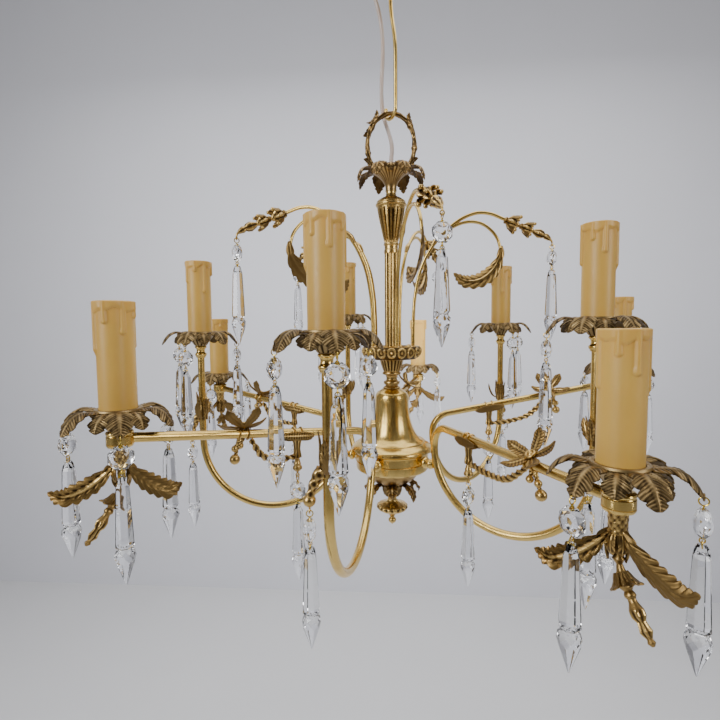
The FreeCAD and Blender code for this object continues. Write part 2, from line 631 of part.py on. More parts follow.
def lamps(arm_bars):
    pan = drip_pan()
    pans = []
    for kind in (True, False):
        for arm in ARMS:
            turned = pan.rotated(Vector(), UP, pan_turn(arm, kind))
            pans.append(turned.translated(lamp_place(arm, kind)))
    feature("drip_pans", Part.makeCompound(pans))

    gap, foot = size("nipple") + size("socket_gap"), size("cone_foot")
    sleeve_in, sleeve_out = size("sleeve_inner"), size("sleeve_outer")
    top, floor, wax = size("sleeve_top"), size("cup_floor"), size("wax_outer")
    sleeve = turned_shape([(sleeve_in, floor), (sleeve_out, floor), (sleeve_out, top - 24),
                           (wax, top - 12), (wax, top), (sleeve_in, top)])
    feature("candle_sleeves", Part.makeCompound(each_lamp(sleeve)))

    nipple, holder, rim = size("nipple"), size("holder_outer"), size("holder_top")
    mouth = size("holder_mouth")
    socket = turned_shape([(0, foot - 3), (nipple, foot - 3), (nipple, floor), (holder, floor),
                           (holder, rim), (mouth, rim), (mouth, rim - 32), (0, rim - 32)])
    feature("lamp_holders", Part.makeCompound(each_lamp(socket)))

    tube = size("arm_outer") + size("socket_gap")
    neck_foot = size("neck_foot")
    neck = turned_shape([(gap, foot), (5.9, foot), (6.3, foot - 1.5), (4.9, foot - 4), (4.9, foot - 7),
                         (6.3, foot - 9), (6.3, foot - 11.5), (5.3, neck_foot), (tube, neck_foot),
                         (tube, neck_foot + 5), (0, neck_foot + 5), (0, foot - 5), (gap, foot - 5)])
    outer, knuckle_foot = size("knuckle_outer"), size("knuckle_foot")
    knuckle = turned_shape([(gap, foot), (outer - 1, foot), (outer, foot - 1.5),
                            (outer, knuckle_foot + 3), (outer - 1, knuckle_foot),
                            (0, knuckle_foot), (0, foot - 5), (gap, foot - 5)])
    knuckles = [one_solid(k.cut(bar)) for k, bar in zip(each_lamp(knuckle, False), arm_bars)]
    feature("candle_ferrules", Part.makeCompound(each_lamp(neck, True) + knuckles))


# --- sprays --------------------------------------------------------------------------------------


def wire_spray():
    """One spray in the XZ plane, growing towards -Y: two arching wires, flowers and a leaf."""
    root, wire = size("spray_root"), size("spray_wire")

    def spot(r, z):
        return Vector(0, -r, lamp_height(z))

    outer, _ = rounded_path([spot(*p) for p in (
        (root, size("dish_top") - 9), (root, 20), (34, 66), (54, 102), (80, 123), (106, 126), (134, 111))])
    inner, _ = rounded_path([spot(*p) for p in (
        (50, 92), (72, 110), (95, 115), (114, 103), (124, 84), (123, 76))])
    tip = spot(size("spray_reach"), size("spray_tip"))
    flower = turned_shape([(0, -9), (3, -9), (7, -4), (8.5, 3), (4, 6), (0, 6)])
    bud = turned_shape([(0, -9), (3.2, -8), (5, -2), (3.6, 5), (1.8, 10), (0, 10)])
    way = (spot(176, 92) - spot(128, 112)).normalize()
    blade = leaf([spot(*p) for p in ((123, 80), (121, 66), (106, 50), (89, 45), (73, 55))],
                 [5, 14, 14, 11, 2], 4, Vector(1, 0.9, 0).normalize())
    parts = [
        round_sweep(outer, wire), round_sweep(inner, wire), blade,
        along(flower, spot(133, 111), way), along(flower, spot(149, 103.5), way),
        along(bud, spot(165, 96), way), cone(spot(128, 112), spot(172, 93), 2.2, 2.2),
        cone(spot(170, 94), tip + UP * 4, 2.4, 1.8), lug(tip, Vector(0, -1, 0)),
    ]
    return joined(parts, [lug_hole(tip, Vector(0, -1, 0))])


def sprays():
    one = wire_spray()
    feature("wire_sprays", Part.makeCompound([one.rotated(Vector(), UP, spray_angle(i)) for i in ARMS]))


def spray_angle(index):
    return size("spray_angle") + size("arm_pitch") * index


def spray_eye(index):
    return compass(spray_angle(index)) * size("spray_reach") + UP * lamp_height(size("spray_tip"))


# --- glass drops ---------------------------------------------------------------------------------


def glass_drop():
    """One drop about its eye: the link and its pin, the faceted bead, the lower pin and the spear.
    The link lies in the XZ plane, where the drop swings."""
    link, wire = size("link_radius"), size("link_wire")
    bead, thick = size("bead_radius"), size("bead_thick")
    flat = bead * math.cos(math.radians(22.5))
    bead_top = -2 * link - wire - 1.2
    ring = Part.makeTorus(link, wire, UP * -link, Vector(0, 1, 0))
    pin = Part.makeCylinder(wire, 1.4, UP * bead_top, UP)
    hanger = ring.fuse(pin).removeSplitter()
    rings = [(bead * 0.55, -thick / 2), (bead, -thick / 9), (bead, thick / 9), (bead * 0.55, thick / 2)]
    lens = Part.makeLoft([octagon(r, z) for r, z in rings], True, True)
    lens = lens.transformed(Placement(UP * (bead_top - flat), Rotation(UP, Vector(1, 0, 0))).toMatrix(), True)
    pin_top = bead_top - 2 * flat
    low_pin = Part.makeCylinder(wire, size("pin_length"), UP * (pin_top - size("pin_length")), UP)
    top, long, wide = pin_top - size("pin_length"), size("spear_length"), size("spear_radius")
    stations = [(0, 0.3), (0.05, 0.58), (0.1, 0.66), (0.64, 0.9), (0.67, 0.7), (0.71, 1), (0.76, 0.95), (1, 0.06)]
    spear = Part.makeLoft([octagon(wide * r, top - long * s) for s, r in stations], True, True)
    return Part.makeCompound([hanger.Solids[0], lens, low_pin, spear])


def drop_places():
    """Each swinging drop: its name, its eye and the compass angle that it swings along."""
    places = []
    for upper in (True, False):
        kind = "upper" if upper else "lower"
        for arm in ARMS:
            for i in range(3):
                angle = pan_turn(arm, upper) + 120 * i
                eye = lamp_place(arm, upper) + compass(angle) * size("drop_circle")
                places.append((f"{kind}_pan_{arm + 1}_drop_{i + 1}", eye - UP * size("drop_hole_below"), angle))
    for i in ARMS:
        places.append((f"spray_drop_{i + 1}", spray_eye(i), spray_angle(i)))
    for arm in ARMS:
        places.append((f"garland_drop_{arm + 1}", garland_eye(arm), garland_swing(arm)))
    return places


def hung(drop, eye, angle):
    """The drop with its X, the way that it swings, turned to a compass angle."""
    matrix = Matrix()
    matrix.rotateZ(math.radians(angle - 90))
    matrix.move(eye)
    return drop.transformed(matrix, True)


def drops():
    drop = glass_drop()
    for label, eye, angle in drop_places():
        feature(label, hung(drop, eye, angle))
    still = [hung(drop, bud_eye(arm), BUD_SIDE[arm]) for arm in ARMS]
    feature("tube_bud_drops", Part.makeCompound(still))


# --- the whole -----------------------------------------------------------------------------------


def check(obj):
    if "Invalid" in obj.State or "Error" in obj.State:
        raise RuntimeError(f"{obj.Label} failed: {obj.State}")


def main():
    ceiling_plate()
    supply_flex()
    suspension_ring()
    column()
    spray_dish()
    sprays()
    arm_bars = arm_tubes()
    hub(arm_bars)
    clipped = [piece(arm, arm_bars[arm]) for piece in (arm_garland, tube_bud) for arm in ARMS]
    feature("arm_garlands", Part.makeCompound(clipped))
    feature("leaf_pendants", Part.makeCompound([leaf_pendant(a) for a in ARMS]))
    lamps(arm_bars)
    drops()
    doc.recompute()
    for obj in doc.Objects:
        check(obj)
    for node in NODES:
        if node.Shape.isNull() or not node.Shape.isValid():
            raise RuntimeError(f"{node.Label} has no sound shape")
    os.makedirs("parts", exist_ok=True)
    for node in NODES:
        node.Shape.exportStep(f"parts/{node.Label}.step")
        print(f"{node.Label:24} solids {len(node.Shape.Solids):3} volume {node.Shape.Volume:12.1f}")
    print(len(NODES), "nodes")


main()
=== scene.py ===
import json
import math

import bmesh
import bpy
import numpy as np
from mathutils import Matrix, Vector


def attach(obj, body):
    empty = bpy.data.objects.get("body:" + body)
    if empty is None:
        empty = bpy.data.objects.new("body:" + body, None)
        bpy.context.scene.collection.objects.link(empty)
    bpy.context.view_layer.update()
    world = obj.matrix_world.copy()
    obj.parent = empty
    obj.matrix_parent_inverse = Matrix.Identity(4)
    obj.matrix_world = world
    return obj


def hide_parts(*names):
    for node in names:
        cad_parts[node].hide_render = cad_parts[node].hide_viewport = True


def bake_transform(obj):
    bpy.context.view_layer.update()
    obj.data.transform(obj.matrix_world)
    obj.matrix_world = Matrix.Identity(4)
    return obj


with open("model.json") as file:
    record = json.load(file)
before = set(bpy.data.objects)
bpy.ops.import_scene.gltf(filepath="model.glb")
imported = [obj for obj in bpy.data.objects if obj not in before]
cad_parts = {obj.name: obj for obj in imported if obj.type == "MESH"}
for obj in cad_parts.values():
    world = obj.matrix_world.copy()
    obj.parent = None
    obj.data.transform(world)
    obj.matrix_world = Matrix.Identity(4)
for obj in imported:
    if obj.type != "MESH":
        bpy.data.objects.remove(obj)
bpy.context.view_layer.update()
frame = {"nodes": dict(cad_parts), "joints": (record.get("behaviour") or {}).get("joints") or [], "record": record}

MM = 0.001
UP = np.array((0.0, 0.0, 1.0))
LAMP_PLANE = -400.0
ARMS = range(5)
HOLDER_MIDDLE = 51.0
ROOT_ANGLE, ARM_PITCH, ARM_ROOT = -21.0, 72.0, 60.0
ROOT_HEIGHT, ROOT_BEND, ARM_RADIUS = -112.0, 24.0, 4.0
ROD_BELOW_LAMP, ROD_END = 22.5, 6.5
NECK_TOP = -25.0
STAR_SHARE = (0.57, 0.65, 0.62, 0.62, 0.6)
CLIP_SHARE = (0.32, 0.22, 0.25, 0.27, 0.28)
BUD_SIDE = (-85, 100, 150, 240, 270)
PENDANT_SIDES = ((30, 178, 50), (-158, -34, -41), (90, -90, 60), (90, -90, 60), (90, -90, -60))
BUD_LEVEL = -110.0
# The supply flex's route in metres, from the column's top to the ceiling plate.
FLEX_ROUTE = [
    (0, 0, -0.232), (0, 0.0005, -0.216), (0.002, 0.0035, -0.198), (-0.003, 0.010, -0.178),
    (-0.010, 0.0145, -0.156), (-0.011, 0.014, -0.124), (-0.008, 0.012, -0.086), (-0.011, 0.012, -0.050),
    (-0.019, 0.012, -0.026), (-0.020, 0.0125, -0.006),
]
FLEX_DIAMETER = 0.0047
# The photograph's camera: its place in metres, its turns in degrees and its lens in mm.
CAMERA_PLACE = (0, -0.5435, -0.4045)
YAW, PITCH, ROLL = 3.93, -3.9, 0.49
SENSOR_WIDTH, LENS, SHIFT_Y = 36, 23.1, -0.002
SPRAY_START = 13.0
EYE_RADIUS, EYE_WIRE = 1.75, 0.6
WAX_PHASE = 0.4


def compass(degrees):
    """A flat direction, its angle counted from -Y towards +X."""
    angle = math.radians(degrees)
    return np.array((math.sin(angle), -math.cos(angle), 0.0))


def unit(vector):
    return vector / np.linalg.norm(vector)


# --- the frame's places ----------------------------------------------------------------------------


def lamp_places():
    """The pan level of every lamp, from the record's sockets, by kind and arm."""
    places = {}
    for mount in frame["record"]["mounts"]:
        words = mount["name"].split("_")
        if words[:2] == ["lamp", "socket"]:
            middle = np.array(mount["pos_m"]) / MM
            places[words[2], int(words[3]) - 1] = middle - UP * HOLDER_MIDDLE
    return places


def drop_places():
    """Every swinging drop's eye and the compass angle that it swings along."""
    places = {}
    for joint in frame["joints"]:
        if joint["name"].endswith("_link"):
            x, y, _ = joint["axis"]
            places[joint["child"]] = (np.array(joint["pos_m"]) / MM, math.degrees(math.atan2(-y, -x)))
    return places


LAMPS = lamp_places()
DROPS = drop_places()


def pan_turn(kind, arm):
    return DROPS[f"{kind}_pan_{arm + 1}_drop_1"][1]


def arm_route(arm, step=3.0):
    """The arm's centre line as close points, and the rod's inner and outer ends."""
    root = compass(ROOT_ANGLE + ARM_PITCH * arm) * ARM_ROOT
    knuckle = LAMPS["lower", arm] - UP * ROD_BELOW_LAMP
    flat = (knuckle - root) * (1, 1, 0)
    span = np.linalg.norm(flat)
    flat = unit(flat)
    level = LAMP_PLANE + ROOT_HEIGHT - ROOT_BEND
    slope = 0.0
    for _ in range(30):
        slope = math.atan2(knuckle[2] - level - ROOT_BEND * math.cos(slope),
                           span - ROOT_BEND + ROOT_BEND * math.sin(slope))
    centre = root + flat * ROOT_BEND + UP * level
    top = LAMPS["upper", arm] + UP * NECK_TOP
    turn = root + UP * level
    across = (top - turn) * (1, 1, 0)
    half = np.linalg.norm(across) / 2
    bend = np.linspace(math.pi / 2 + slope, math.pi, max(8, int(ROOT_BEND * 2 / step)))[:, None]
    bend = centre + ROOT_BEND * (flat * np.cos(bend) + UP * np.sin(bend))
    loop = np.linspace(math.pi, 2 * math.pi, int(half * math.pi / step))[:, None]
    loop = turn + across / 2 + half * (unit(across) * np.cos(loop) + UP * np.sin(loop))
    touch = bend[0]
    start = knuckle - unit(knuckle - touch) * ROD_END
    corners = np.vstack([start, bend, loop[1:], top])
    return dense(corners, step * 2), touch, start


# --- shapes ----------------------------------------------------------------------------------------


def dense(points, step):
    """The points with more between them wherever they are further apart than step."""
    points = np.asarray(points, float)
    parts = [points[:1]]
    for a, b in zip(points, points[1:]):
        count = max(1, math.ceil(np.linalg.norm(b - a) / step))
        parts.append(a + (b - a) * (np.arange(1, count + 1) / count)[:, None])
    return np.concatenate(parts)


def smooth(points, per_run=6):
    """A curve through the points, with no overshoot where they are unevenly spaced."""
    p = np.asarray(points, float)
    if p.ndim == 1:
        return smooth(np.column_stack([np.linspace(0, 1, len(p)), p]), per_run)[:, 1]
    runs = p[1:] - p[:-1]
    size = np.maximum(np.linalg.norm(runs, axis=1, keepdims=True), 1e-9)
    way = runs / size
    inner = (way[:-1] * size[1:] + way[1:] * size[:-1]) / (size[1:] + size[:-1])
    slope = np.vstack([way[:1], inner, way[-1:]])
    t = (np.arange(per_run) / per_run)[None, :, None]
    a, b = p[:-1, None], p[1:, None]
    leave, reach = (slope[:-1] * size)[:, None], (slope[1:] * size)[:, None]
    curve = ((2 * t**3 - 3 * t**2 + 1) * a + (t**3 - 2 * t**2 + t) * leave
             + (3 * t**2 - 2 * t**3) * b + (t**3 - t**2) * reach)
    return np.vstack([curve.reshape(-1, p.shape[1]), p[-1:]])


def even(points, count):
    """The line through the points cut into count evenly spaced points."""
    run = np.concatenate([[0], np.cumsum(np.linalg.norm(np.diff(points, axis=0), axis=1))])
    at = np.linspace(0, run[-1], count)
    return np.column_stack([np.interp(at, run, points[:, i]) for i in range(points.shape[1])])


def quads(rows, columns, round_columns=True):
    """The faces of a grid of points numbered row by row; columns may close into rings."""
    r = np.arange(rows - 1)
    c = np.arange(columns if round_columns else columns - 1)
    r, c = np.meshgrid(r, c, indexing="ij")
    right = (c + 1) % columns
    corners = [r * columns + c, r * columns + right, (r + 1) * columns + right, (r + 1) * columns + c]
    return np.stack(corners, -1).reshape(-1, 4)


class Shape:
    """Points, faces and each point's relief: 0 at the bottom of a recess and 1 on a ridge. The brass and candle
    materials paint shade where it is low, and the brass ones paint highlight where it is high.
    """

    def __init__(self, points=None, faces=None, relief=0.75):
        self.points = np.zeros((0, 3)) if points is None else np.asarray(points, float).reshape(-1, 3)
        self.faces = np.zeros((0, 4), int) if faces is None else np.asarray(faces)
        self.relief = np.zeros(len(self.points)) + np.asarray(relief, float).ravel()

    def __add__(self, other):
        whole = Shape()
        whole.points = np.vstack([self.points, other.points])
        whole.faces = np.vstack([self.faces, other.faces + len(self.points)])
        whole.relief = np.concatenate([self.relief, other.relief])
        return whole

    def moved(self, by):
        return Shape(self.points + by, self.faces, self.relief)

    def turned(self, degrees):
        """Turned about Z, so that what faced -Y faces that compass angle."""
        angle = math.radians(degrees)
        cos, sin = math.cos(angle), math.sin(angle)
        spin = np.array([[cos, sin, 0], [-sin, cos, 0], [0, 0, 1]])
        return Shape(self.points @ spin, self.faces, self.relief)

    def along(self, start, way):
        """Its Z turned to lie along way, then moved to start."""
        z = unit(np.asarray(way, float))
        x = unit(np.cross(z, (0.37, 0.61, 0.7)))
        return Shape(self.points @ np.stack([x, np.cross(z, x), z]) + start, self.faces, self.relief)


def total(shapes):
    whole = Shape()
    for shape in shapes:
        whole = whole + shape
    return whole


def level(change):
    """A change of surface as relief between 0 and 1."""
    low, high = change.min(), change.max()
    return np.full(change.shape, 0.75) if high - low < 1e-9 else (change - low) / (high - low)


def lathe(profile, around=64, cut=None, step=None):
    """Turned about Z from radius and height pairs; cut gives the change of radius by angle and
    height. The outline is closed by caps at its two ends."""
    line = np.asarray(profile, float) if step is None else dense(profile, step)
    angle = np.arange(around) * 2 * math.pi / around
    radius = np.repeat(line[:, :1], around, 1)
    height = np.repeat(line[:, 1:], around, 1)
    change = np.zeros_like(radius) if cut is None else cut(angle[None, :] + radius * 0, height)
    radius = np.maximum(radius + change, 0)
    points = np.stack([radius * np.cos(angle), radius * np.sin(angle), height], -1)
    ends = [np.broadcast_to((0, 0, line[i, 1]), (1, around, 3)) for i in (0, -1)]
    relief = level(change)
    relief = np.vstack([relief[:1], relief, relief[-1:]])
    points = np.concatenate([ends[0], points, ends[1]])
    return Shape(points, quads(len(points), around), relief)


def ways(path):
    """Each point's direction along the path, and a side and a normal that don't twist."""
    way = np.gradient(path, axis=0)
    way /= np.linalg.norm(way, axis=1, keepdims=True)
    side = np.empty_like(way)
    first = np.cross(way[0], UP)
    side[0] = unit(first if np.linalg.norm(first) > 0.05 else np.cross(way[0], (0.0, 1.0, 0.0)))
    for i in range(1, len(way)):
        side[i] = unit(side[i - 1] - way[i] * (side[i - 1] @ way[i]))
    return way, side, np.cross(way, side)


def tube(path, radius, around=14, cut=None):
    """A round bar along a path, its radius one number or one a point, with capped ends; cut gives
    the change of radius by angle and distance along it."""
    path = np.asarray(path, float)
    _, side, normal = ways(path)
    run = np.concatenate([[0], np.cumsum(np.linalg.norm(np.diff(path, axis=0), axis=1))])
    angle = np.arange(around) * 2 * math.pi / around
    size = np.repeat((np.zeros(len(path)) + radius)[:, None], around, 1)
    change = np.zeros_like(size) if cut is None else cut(angle[None, :] + size * 0, run[:, None] + size * 0)
    size = size + change
    out = side[:, None] * np.cos(angle)[None, :, None] + normal[:, None] * np.sin(angle)[None, :, None]
    points = path[:, None] + out * size[..., None]
    caps = [np.broadcast_to(path[i], (1, around, 3)) for i in (0, -1)]
    relief = level(change)
    relief = np.vstack([relief[:1], relief, relief[-1:]])
    return Shape(np.concatenate([caps[0], points, caps[1]]), quads(len(path) + 2, around), relief)


def turned_bar(path, stations, around=20, cut=None, step=0.8):
    """A bar whose radius follows stations, pairs of share and radius, along a smooth path."""
    line = smooth(path, 12)
    count = max(16, int(np.linalg.norm(np.diff(line, axis=0), axis=1).sum() / step))
    line = even(line, count)
    share, radius = np.array(stations, float).T
    at = np.linspace(0, 1, count)
    return tube(line, np.interp(at, share, radius), around, cut)


def ball(centre, radius, around=20):
    arc = np.linspace(-math.pi / 2, math.pi / 2, around // 2 + 1)
    points = np.column_stack([np.cos(arc), np.sin(arc)]) * radius
    return lathe(points, around).moved(centre)


def hoop(centre, axis, radius, wire, around=24, section=8):
    """A ring of round wire about an axis."""
    angle = np.arange(around + 1) * 2 * math.pi / around
    turn = np.arange(section) * 2 * math.pi / section
    reach = radius + wire * np.cos(turn)[None, :]
    points = np.stack([reach * np.cos(angle)[:, None], reach * np.sin(angle)[:, None],
                       np.broadcast_to(wire * np.sin(turn), (around + 1, section))], -1)
    return Shape(points, quads(around + 1, section)).along(centre, axis)


def leaf(spine, widths, flat, lobes=5, depth=0.3, sweep=0.14, thick=1.5, rib=0.55, ridge=0.45,
         veins=3, cup=0.12, across=13, rows=9, roll=0.0):
    """A cast leaf: widths are its half widths along the spine, flat the direction it is flat in.
    Lobes cut its edges by depth, lobes and veins sweep forwards from the rib, and roll turns it
    about its spine."""
    count = lobes * rows + 1
    line = even(smooth(spine, 10), 80)
    at = np.linspace(0, 1, 80)
    way, _, _ = ways(line)
    side = flat - way * (way @ flat)[:, None]
    side /= np.linalg.norm(side, axis=1, keepdims=True)
    side = side * math.cos(math.radians(roll)) + np.cross(side, way) * math.sin(math.radians(roll))
    normal = np.cross(side, way)
    u = np.linspace(0, 1, count)[:, None]
    v = np.linspace(-1, 1, across)[None, :]
    half = np.interp(u, np.linspace(0, 1, 8 * (len(widths) - 1) + 1), smooth(widths, 8))
    swell = np.sqrt(np.abs(np.sin(math.pi * lobes * u)))
    x = v * half * (1 - (1 - swell) * depth * np.abs(v) ** 1.5)
    s = np.clip(u + sweep * np.abs(v) ** 1.3 * np.minimum(1, 3 * (1 - u)) * np.minimum(1, 6 * u), 0, 1)
    crest = ridge * (swell - 0.6) * np.abs(v) ** 0.7
    fine = ridge * 0.45 * np.cos(2 * math.pi * lobes * veins * u) * np.minimum(1, np.abs(v) * 3)
    spinal = rib * np.exp(-(v / 0.13) ** 2) - 0.5 * rib * np.exp(-((np.abs(v) - 0.3) / 0.12) ** 2)
    height = (crest + fine + spinal) * np.minimum(1, half / max(widths) * 1.6)
    s_flat = s.ravel()

    def at_share(values):
        return np.column_stack([np.interp(s_flat, at, values[:, i]) for i in range(3)]).reshape(*s.shape, 3)

    out, lift = at_share(side), at_share(normal)
    top = at_share(line) + out * x[..., None] + lift * (height - cup * half * v**2)[..., None]
    body = thick * (1 - 0.55 * np.abs(v) ** 3) * np.minimum(1, 0.35 + half / max(widths))
    under = top - lift * (body + 0.5 * height)[..., None]
    points = np.concatenate([top, under[:, ::-1]], 1)
    # The top's relief follows its height; the underside's is set low, at 0.35, so the brass materials paint shade
    # under every leaf.
    relief = np.concatenate([level(height), np.full(height.shape, 0.35)], 1)
    ends = [np.broadcast_to(points[i].mean(0), (1, 2 * across, 3)) for i in (0, -1)]
    points = np.concatenate([ends[0], points, ends[1]])
    relief = np.vstack([relief[:1], relief, relief[-1:]])
    return Shape(points, quads(len(points), 2 * across), relief)


def radial_leaf(angle, profile, widths, **looks):
    """A leaf in the upright plane at a compass angle; profile is radius and height pairs."""
    out = compass(angle)
    spine = [out * r + UP * z for r, z in profile]
    return leaf(spine, widths, np.cross(out, UP), **looks)


def mesh_of(name, shape, material, sharp=38, faceted=False):
    mesh = bpy.data.meshes.new(name)
    faces = [tuple(dict.fromkeys(face)) for face in shape.faces.tolist()]
    mesh.from_pydata((shape.points * MM).tolist(), [], faces)
    relief = mesh.attributes.new("relief", "FLOAT", "POINT")
    relief.data.foreach_set("value", shape.relief.astype(np.float32))
    tool = bmesh.new()
    tool.from_mesh(mesh)
    bmesh.ops.remove_doubles(tool, verts=tool.verts, dist=2e-6)
    bmesh.ops.dissolve_degenerate(tool, edges=tool.edges, dist=1e-7)
    bmesh.ops.recalc_face_normals(tool, faces=tool.faces)
    tool.to_mesh(mesh)
    tool.free()
    mesh.polygons.foreach_set("use_smooth", [not faceted] * len(mesh.polygons))
    if not faceted:
        mesh.set_sharp_from_angle(angle=math.radians(sharp))
    mesh.materials.append(material)
    return mesh


def rays(way, first, count):
    """Directions evenly spaced round way, the first at an angle in degrees from the level."""
    one = unit(np.cross(way, UP))
    two = np.cross(way, one)
    turns = [math.radians(first + 360 / count * i) for i in range(count)]
    return [one * math.cos(turn) + two * math.sin(turn) for turn in turns]


def piece(name, mesh, body="chandelier", instead=(), place=None):
    """A piece of the model made from a mesh, riding on its body and standing for its CAD nodes."""
    if place is not None:
        mesh = mesh.copy()
        mesh.transform(place)
    thing = bpy.data.objects.new(name, mesh)
    bpy.context.scene.collection.objects.link(thing)
    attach(thing, body)
    if instead:
        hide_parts(*instead)
    return thing


def made(name, shape, material, slot, *nodes, sharp=38):
    """A piece made straight from a shape, standing for its CAD nodes."""
    return piece(name, mesh_of(name, shape, material, sharp), instead=nodes)


def put(position, degrees=0.0):
    """The matrix that turns a mesh about Z to a compass angle and moves it to a place in mm."""
    return Matrix.Translation(Vector(position) * MM) @ Matrix.Rotation(math.radians(degrees), 4, "Z")


# --- materials -------------------------------------------------------------------------------------


class Nodes:
    """A material's node tree with short ways to add to it."""

    def __init__(self, name):
        self.material = bpy.data.materials.new(name)
        self.material.use_nodes = True
        self.tree = self.material.node_tree
        self.shader = self.tree.nodes["Principled BSDF"]

    def node(self, kind, **values):
        made = self.tree.nodes.new("ShaderNode" + kind)
        for key, value in values.items():
            if hasattr(made, key):
                setattr(made, key, value)
            else:
                made.inputs[key.replace("_", " ")].default_value = value
        return made

    def join(self, source, target):
        self.tree.links.new(source, target)

    def noise(self, scale, detail=4.0, rough=0.55, squeeze=(1, 1, 1)):
        place = self.node("TexCoord")
        mapping = self.node("Mapping", Scale=squeeze)
        self.join(place.outputs["Object"], mapping.inputs["Vector"])
        noise = self.node("TexNoise", Scale=scale, Detail=detail, Roughness=rough)
        self.join(mapping.outputs["Vector"], noise.inputs["Vector"])
        return noise.outputs["Fac"]

    def spread(self, value, low, high, to_low, to_high):
        made = self.node("MapRange")
        for i, number in enumerate((low, high, to_low, to_high), 1):
            made.inputs[i].default_value = number
        self.join(value, made.inputs[0])
        return made.outputs[0]

    def mix(self, share, first, second):
        made = self.node("Mix", data_type="RGBA")
        for socket, value in ((0, share), (6, first), (7, second)):
            if isinstance(value, (int, float)):
                made.inputs[socket].default_value = value
            elif isinstance(value, tuple):
                made.inputs[socket].default_value = (*value, 1.0)
            else:
                self.join(value, made.inputs[socket])
        return made.outputs[2]

    def relief(self):
        return self.node("Attribute", attribute_name="relief").outputs["Fac"]

    def bump(self, height, distance, strength=1.0):
        made = self.node("Bump", Strength=strength, Distance=distance)
        self.join(height, made.inputs["Height"])
        self.join(made.outputs["Normal"], self.shader.inputs["Normal"])

    def set(self, **values):
        for key, value in values.items():
            self.shader.inputs[key.replace("_", " ")].default_value = value


def polished_brass():
    m = Nodes("polished_brass")
    m.set(Metallic=1.0)
    cloud = m.noise(38, 5)
    tone = m.mix(m.spread(cloud, 0.35, 0.7, 0, 1), (0.84, 0.60, 0.20), (0.70, 0.47, 0.135))
    spots = m.spread(m.noise(160, 3, 0.7), 0.68, 0.78, 0, 0.3)
    m.join(m.mix(spots, tone, (0.30, 0.17, 0.06)), m.shader.inputs["Base Color"])
    m.join(m.spread(m.noise(70, 4, 0.6, (1, 1, 3)), 0.3, 0.75, 0.19, 0.28), m.shader.inputs["Roughness"])
    m.bump(m.noise(300, 2, 0.5), 0.00001, 0.2)
    return m.material


# Brass whose colour is painted with shade in its recesses and with highlight on its ridges, read from each point's
# relief, over a mottled tone.
def antique_brass(name, bright, middle, dark, rough=(0.26, 0.55)):
    m = Nodes(name)
    m.set(Metallic=1.0)
    relief = m.relief()
    grime_and_painted_shade = m.noise(220, 4, 0.65)
    # Painted shade: the colour goes to the dark tone where the relief is low, in recesses, grooves and under
    # leaves; a grime noise mottles how much.
    depth = m.spread(relief, 0.18, 0.62, 1.0, 0.0)
    depth = m.mix(m.spread(grime_and_painted_shade, 0.4, 0.7, 0, 0.45), depth, (0.55, 0.55, 0.55))
    # Painted highlight: where the relief is high, on ridges and ribs, the colour goes to the bright tone.
    tone = m.mix(m.spread(relief, 0.55, 0.95, 0, 1), middle, bright)
    tone = m.mix(m.spread(m.noise(60, 4), 0.4, 0.65, 0, 0.6), tone, middle)
    m.join(m.mix(depth, tone, dark), m.shader.inputs["Base Color"])
    m.join(m.spread(depth, 0, 1, *rough), m.shader.inputs["Roughness"])
    m.bump(m.noise(1500, 3, 0.6), 0.00008, 0.6)
    return m.material


def candle_plastic():
    m = Nodes("candle_plastic")
    m.set(Roughness=0.42, Subsurface_Weight=0.18, Subsurface_Scale=0.004, Coat_Weight=0.12, Coat_Roughness=0.3)
    m.set(Subsurface_Radius=(1.0, 0.55, 0.25))
    cloud = m.spread(m.noise(26, 5, 0.6, (1, 1, 0.5)), 0.35, 0.7, 0, 1)
    tone = m.mix(cloud, (0.76, 0.46, 0.10), (0.66, 0.385, 0.075))
    # Painted shade: the colour darkens to a deep brown in the crease along the wax's edge, where the relief is
    # low.
    grime_and_painted_shade = m.spread(m.relief(), 0.0, 0.4, 0.75, 0)
    m.join(m.mix(grime_and_painted_shade, tone, (0.27, 0.13, 0.03)), m.shader.inputs["Base Color"])
    m.join(m.spread(m.noise(300, 3), 0.3, 0.7, 0.33, 0.5), m.shader.inputs["Roughness"])
    m.bump(m.noise(140, 4, 0.5, (1, 1, 0.3)), 0.0003, 0.35)
    return m.material


def holder_plastic():
    m = Nodes("holder_plastic")
    m.set(Roughness=0.35, Coat_Weight=0.2)
    m.join(m.mix(m.noise(90, 3), (0.78, 0.75, 0.66), (0.66, 0.62, 0.52)), m.shader.inputs["Base Color"])
    m.bump(m.noise(500, 3), 0.0001, 0.3)
    return m.material


def crystal():
    m = Nodes("crystal")
    m.set(Base_Color=(0.985, 0.99, 1.0, 1.0), Transmission_Weight=1.0, IOR=1.54)
    m.join(m.spread(m.noise(120, 4, 0.6), 0.45, 0.8, 0.0, 0.07), m.shader.inputs["Roughness"])
    m.bump(m.noise(260, 2, 0.4), 0.00004, 0.4)
    return m.material


def bright_wire():
    m = Nodes("bright_wire")
    m.set(Metallic=1.0, Roughness=0.22)
    m.join(m.mix(m.noise(400, 3), (0.95, 0.72, 0.16), (0.78, 0.52, 0.08)), m.shader.inputs["Base Color"])
    m.bump(m.noise(2500, 2), 0.00003, 0.4)
    return m.material


